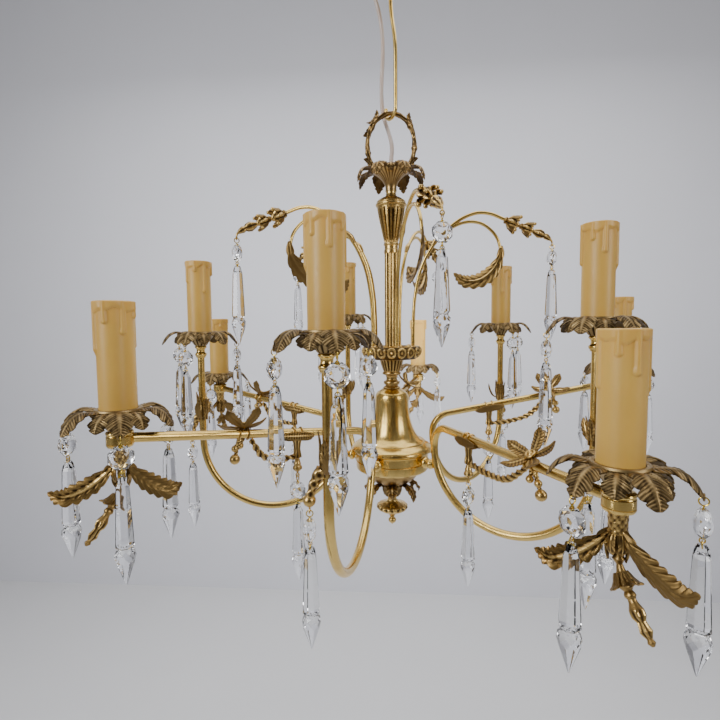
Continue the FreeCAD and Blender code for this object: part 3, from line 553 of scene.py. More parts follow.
def clear_flex():
    m = Nodes("clear_flex")
    m.set(Roughness=0.2, Coat_Weight=0.6, Coat_Roughness=0.15)
    strands = m.node("TexWave", Scale=330.0, Distortion=1.5, Detail=2.0, Detail_Scale=1.5,
                     bands_direction="DIAGONAL")
    m.join(m.node("TexCoord").outputs["Object"], strands.inputs["Vector"])
    tone = m.mix(strands.outputs["Fac"], (0.50, 0.33, 0.26), (0.72, 0.60, 0.52))
    tone = m.mix(m.spread(m.noise(60, 3), 0.4, 0.6, 0, 0.5), tone, (0.62, 0.55, 0.50))
    m.join(tone, m.shader.inputs["Base Color"])
    m.bump(strands.outputs["Fac"], 0.0002, 0.4)
    return m.material


def stage_paint(name, first, second):
    m = Nodes(name)
    m.set(Roughness=0.9)
    m.join(m.mix(m.noise(3, 3), first, second), m.shader.inputs["Base Color"])
    return m.material


POLISHED = polished_brass()
# These three brasses paint shade in low relief and highlight on high relief; the last colour of each is the
# painted shade.
ANTIQUE_PAINTED_SHADE = antique_brass("antique_brass", (0.84, 0.59, 0.21), (0.52, 0.335, 0.115), (0.05, 0.028, 0.012))
PAN_BRASS = antique_brass("pan_brass", (0.40, 0.285, 0.13), (0.25, 0.17, 0.075), (0.04, 0.025, 0.012),
                          (0.42, 0.6))
AGED_PAINTED_SHADE = antique_brass("aged_brass_painted_shade", (0.58, 0.40, 0.16), (0.34, 0.21, 0.08), (0.04, 0.024, 0.011), (0.3, 0.55))
CANDLE = candle_plastic()
HOLDER = holder_plastic()
GLASS = crystal()
WIRE = bright_wire()
FLEX = clear_flex()


# --- camera and flex -------------------------------------------------------------------------------


def make_camera():
    data = bpy.data.cameras.new("camera")
    data.sensor_width = SENSOR_WIDTH
    data.lens = LENS
    data.shift_y = SHIFT_Y
    data.clip_start = 0.02
    camera = bpy.data.objects.new("camera", data)
    yaw, pitch, roll = (math.radians(angle) for angle in (YAW, PITCH, ROLL))
    turn = (Matrix.Rotation(yaw, 4, "Z") @ Matrix.Rotation(pitch, 4, "X") @ Matrix.Rotation(roll, 4, "Y")
            @ Matrix.Rotation(math.pi / 2, 4, "X"))
    camera.matrix_world = Matrix.Translation(CAMERA_PLACE) @ turn
    bpy.context.scene.collection.objects.link(camera)
    bpy.context.scene.camera = camera


def route_points(route):
    """Close points along the NURBS spline that the route's points control, in metres."""
    data = bpy.data.curves.new("flex_route", "CURVE")
    data.dimensions = "3D"
    data.resolution_u = 16
    spline = data.splines.new("NURBS")
    spline.points.add(len(route) - 1)
    for point, place in zip(spline.points, route):
        point.co = (*place, 1)
    spline.order_u = 3
    spline.use_endpoint_u = True
    guide = bpy.data.objects.new("flex_route", data)
    bpy.context.scene.collection.objects.link(guide)
    line = bpy.data.meshes.new_from_object(guide)
    points = np.array([vertex.co for vertex in line.vertices])
    bpy.data.objects.remove(guide)
    bpy.data.meshes.remove(line)
    bpy.data.curves.remove(data)
    return points


def supply_flex():
    """The clear two-core flex, which bends where the ring swings on its hook."""
    path = route_points(FLEX_ROUTE)
    line = even(path, 160) / MM
    bar = tube(line, FLEX_DIAMETER / 2 / MM, 24, lambda a, d: -0.22 * np.cos(a - d * 0.06) ** 8)
    flex = bpy.data.objects.new("clear_flex", mesh_of("clear_flex", bar, FLEX))
    bpy.context.scene.collection.objects.link(flex)
    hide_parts("supply_flex")
    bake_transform(flex)


make_camera()
supply_flex()


# --- ring, crown and column ------------------------------------------------------------------------


def lamp_level(shape):
    return shape.moved(UP * LAMP_PLANE)


def suspension_ring():
    """A twig bent to an oval, its joints wrapped in small leaves, over a crown of curled leaves."""
    half_width, half_height, middle = 26.8, 35.0, 202.0
    foot = math.asin((174 - middle) / half_height)
    turn = np.linspace(foot, math.pi - foot, 240)
    path = np.column_stack([half_width * np.cos(turn), 0 * turn, middle + half_height * np.sin(turn)])
    knots = (0.16, 0.31, 0.69, 0.86)
    share = np.linspace(0, 1, len(path))
    radius = 2.5 + sum(0.9 * np.exp(-((share - k) / 0.012) ** 2) for k in knots) + 0.25 * np.sin(share * 47)
    twig = tube(path, radius, 20, lambda a, d: 0.22 * np.cos(5 * a + d * 0.25) + 0.12 * np.sin(9 * a - d * 0.7))
    parts = [twig]
    centre = np.array((0, 0, middle))
    for where, ahead, lean in ((0.04, 1, 0.5), (0.30, 1, 0.5), (0.62, 1, 0.5), (0.69, 1, -0.5), (0.67, -1, 0.5),
                               (0.96, -1, 0.5)):
        i = int(where * (len(path) - 1))
        way = unit(path[min(i + 2, 239)] - path[max(i - 2, 0)]) * ahead
        out = unit(path[i] - centre)
        depthwise = np.array((0, -1.0 if lean > 0 else 1.0, 0))
        lift = unit(out * abs(lean) + depthwise * 0.7)
        spine = [path[i] - way * 3 + lift * 1.5, path[i] + way * 3 + lift * 3.2, path[i] + way * 9 + lift * 3.9,
                 path[i] + way * 13.5 + out * 2.5 + lift * 4.5]
        parts.append(leaf(spine, [1.5, 3.4, 3.0, 0.5], np.cross(way, lift), lobes=4, depth=0.35, thick=1.1,
                          rib=0.35, ridge=0.3, veins=2, across=9, rows=7))
    for x in (-19.5, 19.5):
        parts.append(hoop(np.array((x, 0, 178.5)), (0, 1, 0), 2.3, 1.3))
    flutes = lambda a, z: np.where(z < 173, 0.5 * np.abs(np.cos(14 * a)) - 0.4, 0) * np.clip((z - 156) / 6, 0,
                                                                                             1)
    cup = lathe(smooth([(5.05, 150), (6.2, 150), (6.3, 153), (6.8, 156), (9.5, 162), (15.5, 168), (20.5, 171.5),
                        (22, 174), (21, 175.3), (17, 175), (9, 168), (5.05, 166)], 4), 96, flutes)
    parts.append(cup)
    for i in range(8):
        profile = [(15, 171), (22, 174.5), (30, 175.5), (36, 172.5), (39.5, 166), (40.5, 158)]
        parts.append(radial_leaf(45 * i + 22.5, profile, [3.5, 6.8, 8, 7, 4.6, 1], lobes=6, depth=0.45,
                                 thick=1.8, rib=0.6, ridge=0.6, veins=2, cup=0.22))
        parts.append(radial_leaf(45 * i, [(12, 171), (18, 175), (24, 175.5), (28, 171), (29, 165)],
                                 [3, 5, 5, 3.6, 1], lobes=4, depth=0.4, thick=1.5, ridge=0.5, veins=2, cup=0.2))
    shape = lamp_level(total(parts))
    made("ring_with_crown", shape, AGED_PAINTED_SHADE, "antique_brass", "suspension_ring")


def fluted_urn():
    def flutes(a, z):
        inside = np.clip((z - 92.5) / 4, 0, 1) * np.clip((130.5 - z) / 4, 0, 1)
        grooves = -np.maximum(0, np.cos(18 * a)) ** 0.5 * np.sqrt(inside) * (1.1 + (z - 92) * 0.03)
        beads = 0.45 * np.abs(np.cos(22 * a)) * ((z > 137.5) & (z < 140.5))
        return grooves + beads
    outline = [(5.05, 150), (5.9, 150), (5.7, 147.5), (6.6, 144.5), (11.5, 142.3), (13.5, 141), (14.2, 140.4),
               (15.6, 139), (16.4, 137.8), (16.4, 137), (17.4, 136.2), (17.9, 135), (17.6, 133.8),
               (16.6, 133.2),
               (16.2, 132), (14.6, 122), (12, 110), (9.3, 98), (7.9, 92.4), (8.6, 91.6), (8.9, 90.6),
               (8.6, 89.6),
               (7.8, 88.8), (7.7, 85), (8.2, 84), (8.4, 82), (8.4, 80.5), (7.9, 80), (5.05, 80)]
    shape = lamp_level(lathe(outline, 192, flutes, 0.7))
    made("urn", shape, ANTIQUE_PAINTED_SHADE, "antique_brass", "fluted_urn")
    reeds = lambda a, z: 1.4 * np.abs(np.cos(5 * a)) - 1.4
    column = lamp_level(lathe([(5.05, 80), (7.7, 80), (7.7, -27), (5.05, -27)], 168, reeds, 12))
    # The polished column takes the brass that paints shade in low relief, so the grooves between its reeds are
    # painted dark.
    made("reeded_column", column, ANTIQUE_PAINTED_SHADE, "polished_brass", "column_sleeve", sharp=60)


def spray_dish():
    def scrolls(a, z):
        share = (a * 18 / (2 * math.pi)) % 1 - 0.5
        x, y = share * 12.2, z + 34.0
        ring = np.sqrt((x / 5.4) ** 2 + (y / 6.2) ** 2)
        rim = (z > -41.5) & (z < -27.4)
        eggs = np.where(ring < 1, 0.9 * np.cos(ring * math.pi * 2.4), -0.9) * rim
        on_cone = np.clip((-42.5 - z) / 1.5, 0, 1) * np.clip((z + 57) / 2, 0, 1)
        cone = -1.1 * np.maximum(0, np.cos(20 * a)) ** 0.7 * on_cone
        return eggs * 0.8 + cone
    outline = [(5.05, -29.5), (13, -29.5), (24, -29), (29.5, -27.4), (32, -27), (33.6, -28.2), (34.6, -31),
               (34.4, -34), (33, -37.4), (30.8, -40.4), (28, -42), (15.5, -42.6), (13.8, -44), (12.4, -49),
               (10.3, -55), (9.6, -57), (10.6, -57.6), (11, -58.8), (10.6, -60), (7.4, -61.4), (6.5, -63.5),
               (6.4, -66), (7.4, -67.6), (9.2, -68.4), (9.6, -70), (9.2, -71.4), (7.6, -72.2), (7.4, -73.6),
               (9, -74.6), (10.2, -75.6), (10.2, -76.5), (5.05, -76.5)]
    shape = lamp_level(lathe(outline, 288, scrolls, 0.6))
    made("scroll_dish", shape, ANTIQUE_PAINTED_SHADE, "antique_brass", "spray_dish")
    buttons = total([lamp_level(ball(compass(SPRAY_START + 36 + 72 * i) * 24 + UP * -28.5, 3.2)) for i in ARMS]
                    + [lamp_level(lathe([(2.2, -29), (4, -28.6), (3.6, -27), (2.4, -26.2), (2.2, -26.2)],
                                        24)).moved(
                        compass(SPRAY_START + 72 * i) * 25) for i in ARMS])
    made("dish_buttons", buttons, ANTIQUE_PAINTED_SHADE, "antique_brass")


def bell_and_hub():
    bell = [(5.05, -76.5), (9, -76.5), (11, -77.4), (14.8, -79.6), (17.6, -82), (19.2, -85), (19.75, -89),
            (19.9, -95),
            (20.3, -102), (21.3, -110), (23.2, -118), (26, -125.5), (29.6, -132), (33.4, -136.4)]
    foot = [(36.6, -138.6), (37.2, -138.2), (38, -138.2), (38.6, -138.9), (38.7, -139.6), (41.5, -141),
            (44.6, -143.2),
            (46.6, -145.2), (47.4, -147), (47.3, -148.4), (46, -149.6), (44.5, -150)]
    inside = [(43, -150), (45, -147), (44.5, -145), (39, -140.8), (33, -138.4), (25, -127), (19.6, -110),
              (18.2, -90),
              (15, -82.2), (8, -78), (5.05, -78)]
    outline = np.vstack([smooth(bell, 5), foot, inside])
    made("bell", lamp_level(lathe(outline, 128)), POLISHED, "polished_brass", "bell_cover", sharp=30)
    ring = [(39, -150), (43.6, -150), (44.2, -150.8), (43.8, -151.8), (42.6, -152.4), (42.5, -160.6),
            (42.1, -161),
            (41.3, -161.2), (41.3, -161.7), (42.1, -161.9), (42.5, -162.3), (42.5, -169.6), (42.2, -170.8),
            (41, -172),
            (29, -172), (29, -169), (5.05, -169), (5.05, -166), (39, -166)]
    parts = [lathe(ring, 128)]
    knob = lathe(smooth([(0, 40), (3.6, 40), (3.6, 44.4), (4.6, 45), (6, 46.3), (6.5, 48), (6, 49.8),
                         (4.5, 51.4),
                         (3.6, 52.4), (4.6, 53.2), (5.7, 54.2), (5.8, 55.6), (5.2, 57), (4, 59.3), (0, 59.5)],
                         3), 40)
    for arm in ARMS:
        parts.append(knob.along(UP * -157, compass(ROOT_ANGLE + ARM_PITCH * arm)))
    made("hub_band", lamp_level(total(parts)), POLISHED, "polished_brass", "hub_ring", sharp=30)

    bowl = smooth([(28.5, -172), (31, -172.2), (31.2, -174), (30, -178.5), (26, -184), (19, -188.4),
                   (12, -190.4),
                   (5.05, -191), (5.05, -189), (17, -186), (26, -178), (28, -173)], 5)
    parts = [lathe(bowl, 96)]
    for i in range(8):
        reach, fall = (36, -205.5) if i % 2 else (33, -200)
        profile = [(14, -189), (22, -187.6), (29, -189.5), (reach - 2, -194), (reach, fall + 5),
                   (reach - 1.5, fall)]
        parts.append(radial_leaf(45 * i, profile, [3, 5.5, 6.6, 5.2, 3.4, 0.8], lobes=5, depth=0.42, thick=1.7,
                                 ridge=0.55, veins=2, cup=0.2))
    made("leafed_bowl", lamp_level(total(parts)), AGED_PAINTED_SHADE, "antique_brass", "hub_bowl")


def bottom_finial():
    def cuts(a, z):
        cup = -0.8 * np.maximum(0, np.cos(8 * a)) ** 0.8 * np.clip((z + 207) / 3, 0, 1) * (z < -192)
        disc = -1.3 * np.abs(np.cos(8 * a)) ** 3 * np.exp(-((z + 219) / 2.6) ** 2)
        return cup + disc
    outline = smooth([(5.05, -191), (8.6, -191.2), (10.4, -194), (10, -198), (7.4, -203), (5.6, -207),
                      (5.4, -210),
                      (7, -212.6), (13, -215.4), (18, -217), (18.9, -219), (17.6, -221.4), (13, -224.4),
                      (7.4, -227), (4.4, -229.4), (3, -231.4), (2.6, -232.6), (4.2, -234.2), (4.7, -236.4),
                      (3.8, -238.6), (1.8, -240), (1.2, -240.8), (0.4, -241.4), (0, -241.5)], 3)
    shape = lathe(outline, 128, cuts)
    leaves = [radial_leaf(45 * i, [(8.5, -205), (10.4, -199), (11, -195), (13.6, -191.5), (15.5, -193)],
                          [2.2, 3.2, 3.4, 2.2, 0.5], lobes=3, depth=0.3, thick=1.0, rib=0.4,
                          ridge=0.3) for i in range(8)]
    shape = lamp_level(total([shape] + leaves))
    made("finial", shape, ANTIQUE_PAINTED_SHADE, "antique_brass", "bottom_finial")


suspension_ring()
fluted_urn()
spray_dish()
bell_and_hub()
bottom_finial()


# --- arms and what is clipped to them --------------------------------------------------------------


def arm_tubes():
    for arm in ARMS:
        path, _, _ = arm_route(arm)
        shape = tube(path, ARM_RADIUS, 40)
        made(f"arm_tube_{arm + 1}", shape, POLISHED, "polished_brass", "arm_tubes", sharp=60)


def star(centre, way, side, lift):
    """Five veined leaves round a small ring, leaning to one side."""
    lift = unit(lift + side * 0.7)
    side = unit(np.cross(way, lift))
    parts = [hoop(centre + lift * 2.2, lift, 3.6, 1.3, 28, 10), ball(centre + lift * 1.4, 2.6)]
    for i in range(5):
        turn = math.radians(72 * i + 36)
        out = way * math.cos(turn) + side * math.sin(turn)
        spine = [centre + out * d + lift * h for d, h in ((1, 0), (8, 2), (16, 4.5), (23, 9.5))]
        parts.append(leaf(spine, [2.4, 5.2, 5.0, 0.5], np.cross(out, lift), lobes=9, depth=0.18, sweep=0.14,
                          thick=1.6, rib=0.7, ridge=0.7, veins=1, across=11, rows=6))
    return parts


def rod_garland(arm):
    """A feathered cap under the rod with a tulip and a bell bud, a twisted rope to a star of leaves
    on top of the rod, and berries below it."""
    _, inner, outer = arm_route(arm)
    way = unit(outer - inner)
    spot = inner + (outer - inner) * CLIP_SHARE[arm]
    star_spot = inner + (outer - inner) * STAR_SHARE[arm]
    side = unit(np.cross(way, UP))
    lift = np.cross(side, way)
    parts = []
    for away in (1, -1):
        spine = [spot + way * away * d - lift * s for d, s in ((0, 4.4), (6, 5.2), (12, 5.2), (18, 4.4))]
        parts.append(leaf(spine, [4.4, 4.4, 3.4, 0.8], side * -away, lobes=9, depth=0.4, sweep=0.16, thick=1.6,
                          rib=0.5, ridge=0.7, veins=1, cup=-0.5, across=11, rows=6))
    for away in (1, -1):
        spine = [spot + way * d + side * away * s - lift * 2.6 for d, s in ((-17, 4.6), (-7, 5.6), (7, 5.6),
                                                                            (17, 4.6))]
        parts.append(leaf(spine, [1.6, 4.4, 4.4, 1.6], lift, lobes=13, depth=0.3, sweep=0.0, thick=1.4, rib=0.4,
                          ridge=0.8, veins=1, across=11, rows=6))
    for place in (spot, star_spot):
        for shift in (-4, 4):
            parts.append(hoop(place + way * shift, way, ARM_RADIUS + 0.85, 0.75, 32, 8))
    fluted = lambda a, d: 0.45 * np.cos(7 * a) * np.clip(d / 3, 0, 1)
    parts.append(turned_bar([spot - UP * 4, spot - UP * 24], [(0, 5.2), (0.3, 3.4), (0.6, 2.7), (0.85, 3.6),
                                                              (1, 3.9)],
                            28, fluted, 0.5))
    bud_top = spot - UP * 24
    parts.append(turned_bar([bud_top, bud_top - UP * 14],
                            [(0, 3.6), (0.08, 2.2), (0.25, 2.6), (0.45, 3.5), (0.55, 3.2), (0.62, 4.2),
                             (0.8, 4.6),
                             (0.93, 3.0), (1, 1.4)], 24, None, 0.4))
    strap = [bud_top + UP * 1, 0.66 * bud_top + 0.34 * star_spot - UP * 9,
             0.35 * bud_top + 0.65 * star_spot - UP * 13,
             star_spot - way * 7 - UP * 5.5]
    twist = lambda a, d: 0.75 * np.cos(2 * a - d * 0.85) + 0.25 * np.cos(10 * a - d * 0.9)
    parts.append(turned_bar(strap, [(0, 1.6), (0.12, 2.2), (0.3, 2.7), (0.5, 2.3), (0.7, 2.8), (0.9, 2.1),
                                    (1, 1.6)],
                            24, twist, 0.45))
    parts += star(star_spot + lift * 6.2, way, side, lift)
    scaly = lambda a, d: 0.3 * np.cos(3 * a - d * 2.2)
    for ahead, sideways, down, radius in ((2, 3, 11, 3.1), (8, 0, 13, 3.1), (9, -2, 22, 4.6)):
        end = star_spot + way * ahead + side * sideways - UP * down
        start = star_spot + way * ahead * 0.4 - UP * 4
        parts.append(turned_bar([start, end], [(0, 2.2), (0.6, 1.4), (1, 1.9)], 16, scaly, 0.4))
        parts.append(ball(end, radius, 28))
    eye = DROPS[f"garland_drop_{arm + 1}"][0]
    parts.append(hoop(eye, compass(ROOT_ANGLE + ARM_PITCH * arm), EYE_RADIUS, EYE_WIRE))
    parts.append(turned_bar([bud_top - UP * 13, eye + UP * 1.6], [(0, 0.8), (1, 0.7)], 10))
    return total(parts)


def tube_bud(arm):
    """Leaf scales clasping the upright tube, with a knobbly stem out to a ball and an eye."""
    lamp = LAMPS["upper", arm]
    spot = np.array((lamp[0], lamp[1], LAMP_PLANE + BUD_LEVEL))
    out = compass(BUD_SIDE[arm])
    side = np.cross(out, UP)
    parts = [tube([spot - UP * 2, spot + UP * 12], 5.4, 32, lambda a, d: 0.3 * np.cos(8 * a))]
    for turn, base, tall in ((0, -2, 33), (72, 0, 24), (-72, 0, 26), (150, 2, 20), (-150, 2, 22)):
        way = out * math.cos(math.radians(turn)) + side * math.sin(math.radians(turn))
        spine = [spot + way * r + UP * (base + tall * h) for r, h in ((4.8, 0), (6.4, 0.35), (6.2, 0.7),
                                                                      (7.4, 1))]
        parts.append(leaf(spine, [2.5, 3.9, 3.2, 0.5], np.cross(UP, way), lobes=6, depth=0.25, thick=1.3,
                          rib=0.5,
                          ridge=0.45, veins=1, across=9, rows=6))
    end = spot + out * 14 - UP * 20
    stem = [spot + out * 4 + UP * 3, spot + out * 8 - UP * 3, spot + out * 12 - UP * 12, end]
    knobs = lambda a, d: 0.55 * np.cos(4 * a) * np.cos(d * 0.8)
    parts.append(turned_bar(stem, [(0, 4.4), (0.2, 5), (0.35, 3.4), (0.5, 4.4), (0.65, 2.6), (0.8, 3.4),
                                   (1, 2.6)], 24, knobs,
                            0.45))
    parts.append(ball(end, 4.8, 28))
    for way in (side, -side):
        spine = [spot + UP * h + way * d for d, h in ((3, 1), (9, 3), (14, 11), (16.5, 20))]
        parts.append(leaf(spine, [2.2, 3.6, 3, 0.5], np.cross(way, UP), lobes=6, depth=0.25, thick=1.3,
                          rib=0.5, veins=1,
                          across=9, rows=6))
    eye = end - UP * 7.5
    parts += [hoop(eye, out, EYE_RADIUS, EYE_WIRE), turned_bar([end - UP * 4, eye + UP * 1.6],
                                                               [(0, 0.9), (1, 0.7)], 10)]
    return total(parts)


def leaf_pendant(arm):
    """A chased stub with two feathered leaves, three tongues and a chain of buds and a flower."""
    top = LAMPS["lower", arm] - UP * 29
    first = pan_turn("lower", arm)
    chased = lambda a, d: 0.35 * np.abs(np.sin(4 * a + d * 0.6)) + 0.35 * np.abs(np.sin(4 * a - d * 0.6)) - 0.35
    parts = [turned_bar([top + UP * 0.2, top - UP * 15], [(0, 5.6), (0.06, 6.2), (0.12, 5.7), (0.8, 5.4),
                                                          (0.86, 6.1),
                                                         (0.94, 5.6), (1, 3.4)], 48, chased, 0.35)]
    outwards = unit(top * (1, 1, 0))
    *leaf_turns, chain_turn = PENDANT_SIDES[arm]
    for turn in leaf_turns:
        out = compass(first + turn)
        spine = [top + out * r - UP * z for r, z in ((2, 11), (12, 21), (26, 30), (39, 33), (48, 28))]
        parts.append(leaf(spine, [2.4, 7.6, 8.0, 5.6, 0.8], UP * 0.85 - outwards * 0.5, lobes=9, depth=0.6,
                          sweep=0.17,
                          thick=2.3, rib=0.9, ridge=1.0, veins=1, cup=-0.16, across=15, rows=8))
    for turn in (0, 60, -60, 180, 120, -120):
        out = compass(first + turn)
        long = 20 if turn in (0, 180) else 15
        spine = [top + out * r - UP * z for r, z in ((3.4, 12), (6.4, 16), (6.8, 12 + long * 0.7),
                                                     (5.4, 12 + long))]
        parts.append(leaf(spine, [1.8, 2.9, 2.9, 0.8], np.cross(out, UP), lobes=2, depth=0.08, thick=2.0,
                          rib=0.2,
                          ridge=0.3, veins=1, across=9, rows=8))
    out = compass(first + chain_turn)
    chain = [top + out * r - UP * z for r, z in ((0, 14), (0.5, 24), (2, 33), (6, 42), (11, 49), (16, 56),
                                                 (27, 69))]
    ribbed = lambda a, d: 0.55 * np.cos(6 * a) * (np.clip((d - 43) / 3, 0, 1) * np.clip((60 - d) / 3, 0, 1))
    parts.append(turned_bar(chain, [(0, 3), (0.12, 2), (0.2, 2.0), (0.235, 3.2), (0.25, 3.6), (0.265, 3.2),
                                    (0.3, 1.8),
                                    (0.36, 2.6), (0.42, 4.2), (0.5, 4.6), (0.54, 2.4), (0.56, 3.2),
                                    (0.585, 3.5),
                                    (0.61, 2.4), (0.64, 2.6), (0.7, 4.2), (0.76, 3.8), (0.8, 2.2),
                                    (0.85, 2.8), (0.88, 3.4),
                                    (0.91, 2.4), (0.94, 1.6), (0.97, 2.4), (1, 0.8)], 32, ribbed, 0.35))
    flower, way = chain[3], unit(chain[4] - chain[3])
    for ray in rays(way, 0, 6):
        spine = [flower - way * 5 + ray * 3.2, flower + ray * 5.2, flower + way * 3 + ray * 7.6,
                 flower + way * 3.6 + ray * 10]
        parts.append(leaf(spine, [1.8, 3.0, 3.4, 0.8], np.cross(ray, way), lobes=3, depth=0.2, thick=1.4,
                          rib=0.4, ridge=0.35, veins=1, across=9, rows=6))
    return total(parts)


def castings():
    kinds = (("rod_garland", rod_garland, "arm_garlands"), ("tube_bud", tube_bud, "arm_garlands"),
             ("pendant", leaf_pendant, "leaf_pendants"))
    for arm in ARMS:
        for kind, shape, node in kinds:
            name = f"{kind}_{arm + 1}"
            piece(name, mesh_of(name, shape(arm), ANTIQUE_PAINTED_SHADE), instead=[node])


arm_tubes()
castings()


# --- pans, necks and candles -----------------------------------------------------------------------


def pan_shape():
    """A fluted cup with six long leaves, every second one with an eye for a drop, and six short."""
    flutes = lambda a, z: -0.7 * np.maximum(0, np.cos(12 * a)) ** 0.8 * np.clip((-6 - z) / 3, 0,
                                                                                1) * (z > -15.4)
    parts = [lathe([(3.55, -16), (5.9, -16), (7.4, -14.6), (10.4, -10), (14, -5.5), (16.4, -2.6), (17.2, -0.8),
                    (16.8, 0.6), (15.6, 0.9), (13.9, 0.5), (13.7, -3), (3.55, -3)], 96, flutes, 1.2)]
    for i in range(6):
        parts.append(radial_leaf(60 * i, [(14.6, -1.2), (21, 0.4), (28, 1), (34, -1.6), (39, -7.4),
                                          (42, -13.5)],
                                 [4.6, 7.6, 9.2, 8.8, 6.4, 2.4], lobes=4, depth=0.45, sweep=0.15, thick=1.5,
                                 rib=0.35,
                                 ridge=0.55, veins=4, cup=0.20, across=17, rows=16))
        parts.append(radial_leaf(60 * i + 30, [(14.6, -2), (20, -1.2), (25.5, -3.4), (29.5, -8), (31, -13)],
                                 [4.4, 7.0, 7.8, 6.0, 1.4], lobes=3, depth=0.42, sweep=0.16, thick=1.5,
                                 rib=0.35,
                                 ridge=0.5, veins=4, cup=0.22, across=15, rows=16))
    for i in range(3):
        eye = compass(120 * i) * 41.5 - UP * 13
        parts.append(hoop(eye, compass(120 * i), EYE_RADIUS, EYE_WIRE))
    return total(parts)


def candle_shape():
    """The plastic sleeve moulded like a candle, a collar of wax with drips running down from it."""
    drips = [(20, 36, 2.0), (75, 16, 1.8), (118, 27, 2.0), (190, 38, 2.1), (236, 17, 1.9), (290, 25, 2.0),
             (335, 13, 1.7)]
    top, body, inner = 81.5, 13.5, 12.2
    around = 132

    def wax(angle, height):
        collar = top - 7.5 + 1.3 * np.sin(3 * angle + WAX_PHASE) + 0.9 * np.sin(7 * angle)
        cover = np.sqrt(np.clip((height - collar) / 2.2, 0, 1))
        thick = 1.25 * cover
        for at, long, wide in drips:
            near = (angle - math.radians(at) + math.pi) % (2 * math.pi) - math.pi
            x = near * (body + 0.8)
            below = np.clip(top - long + wide - height, 0, None)
            swell = wide * (1 + 0.22 * np.exp(-((height - (top - long + wide)) / 3.5) ** 2))
            q = np.sqrt(x**2 + below**2) / swell
            thick = np.maximum(thick, 1.9 * np.sqrt(np.clip(1 - q**2, 0, 1)))
        return thick

    rows = np.concatenate([np.linspace(-3, 44, 14), np.linspace(45, top - 0.8, 66)])
    angle = np.arange(around) * 2 * math.pi / around
    grid_angle, grid_height = np.meshgrid(angle, rows)
    thick = wax(grid_angle, grid_height)
    reach = body + thick
    outer = np.stack([reach * np.cos(grid_angle), reach * np.sin(grid_angle), grid_height], -1)
    lip = []
    for inset, rise in ((0.35, 0.5), (1.0, 0.8), (1.7, 0.55), (2.1, 0.0)):
        r = reach[-1] - inset * (reach[-1] - inner) / 2.1
        lip.append(np.stack([r * np.cos(angle), r * np.sin(angle), 0 * angle + top - 0.8 + rise], -1))
    inside = [np.stack([inner * np.cos(angle), inner * np.sin(angle), 0 * angle + z], -1) for z in (70, 40, -3)]
    points = np.concatenate([outer, np.array(lip), np.array(inside), outer[:1]])
    # The relief dips along the crease where the wax thins out at its edge above 40 mm, so that the candle material
    # paints shade there.
    crease = np.clip(1 - np.abs(thick - 0.35) / 0.5, 0, 1) * (grid_height > 40)
    relief = np.concatenate([0.75 - 0.65 * crease, np.full((len(lip) + len(inside) + 1, around), 0.6)])
    return Shape(points, quads(len(points), around), relief)


def lamps():
    pan = mesh_of("leaf_pan", pan_shape(), PAN_BRASS)
    candle = mesh_of("candle", candle_shape(), CANDLE, 60)
    neck = lathe(smooth([(3.55, -16), (5.6, -16), (6.5, -16.6), (6.6, -17.8), (5.6, -18.8), (4.9, -20),
                         (4.8, -22.6),
                         (5.4, -24), (6.4, -24.8), (6.6, -26), (6.2, -27.2), (5.4, -28), (5.2, -29.4),
                         (4.05, -30)], 3), 48)
    neck = mesh_of("lamp_neck", neck, POLISHED, 40)
    knuckle = lathe([(3.55, -16), (6.4, -16), (7, -16.6), (8.6, -16.8), (9.6, -17.4), (10, -18.4),
                     (9.7, -19.4), (9.1, -19.9),
                     (9.3, -20.5), (9.8, -20.9), (9.8, -26.0), (9.4, -26.2), (9.4, -26.5), (9.8, -26.7),
                     (9.8, -27.6),
                     (9.0, -29), (3.5, -29)], 64)
    knuckle = mesh_of("knuckle", knuckle, POLISHED, 30)
    turns = {"upper": (0, 150, 75, 210, 300), "lower": (35, 160, 250, 120, 330)}
    for (kind, arm), place in LAMPS.items():
        n = arm + 1
        piece(f"{kind}_pan_{n}", pan, instead=["drip_pans"], place=put(place, pan_turn(kind,
                                                                                                        arm)))
        piece(f"{kind}_candle_{n}", candle, instead=["candle_sleeves"],
              place=put(place, turns[kind][arm]))
        ferrule = neck if kind == "upper" else knuckle
        piece(f"{kind}_ferrule_{n}", ferrule, instead=["candle_ferrules"], place=put(place))


lamps()


# --- sprays ----------------------------------------------------------------------------------------


def bell_flower(start, way, long, wide):
    """A small cast flower: a calyx, a swelling of petals and a ring of petal tips."""
    petals = lambda a, d: 0.12 * wide * np.cos(6 * a) * np.clip(d / long * 2, 0, 1)
    body = [(0, 0.35), (0.12, 0.5), (0.2, 0.36), (0.5, 0.9), (0.75, 0.86), (1, 0.4)]
    body = [(share, wide * radius) for share, radius in body]
    parts = [turned_bar([start, start + way * long], body, 30, petals, 0.4)]
    for ray in rays(way, 45, 4):
        tip = ((0.5, 0.7), (0.75, 0.9), (0.95, 1.05), (1.05, 1.25))
        spine = [start + way * long * d + ray * wide * r for d, r in tip]
        parts.append(leaf(spine, [wide * w for w in (0.22, 0.4, 0.4, 0.2)], np.cross(ray, way), lobes=1,
                          depth=0.0, thick=1.8, rib=0.3, ridge=0.2, veins=1, across=7, rows=12))
        parts.append(ball(spine[-1], wide * 0.25, 12))
    parts.append(ball(start + way * long * 1.02, wide * 0.42))
    return parts


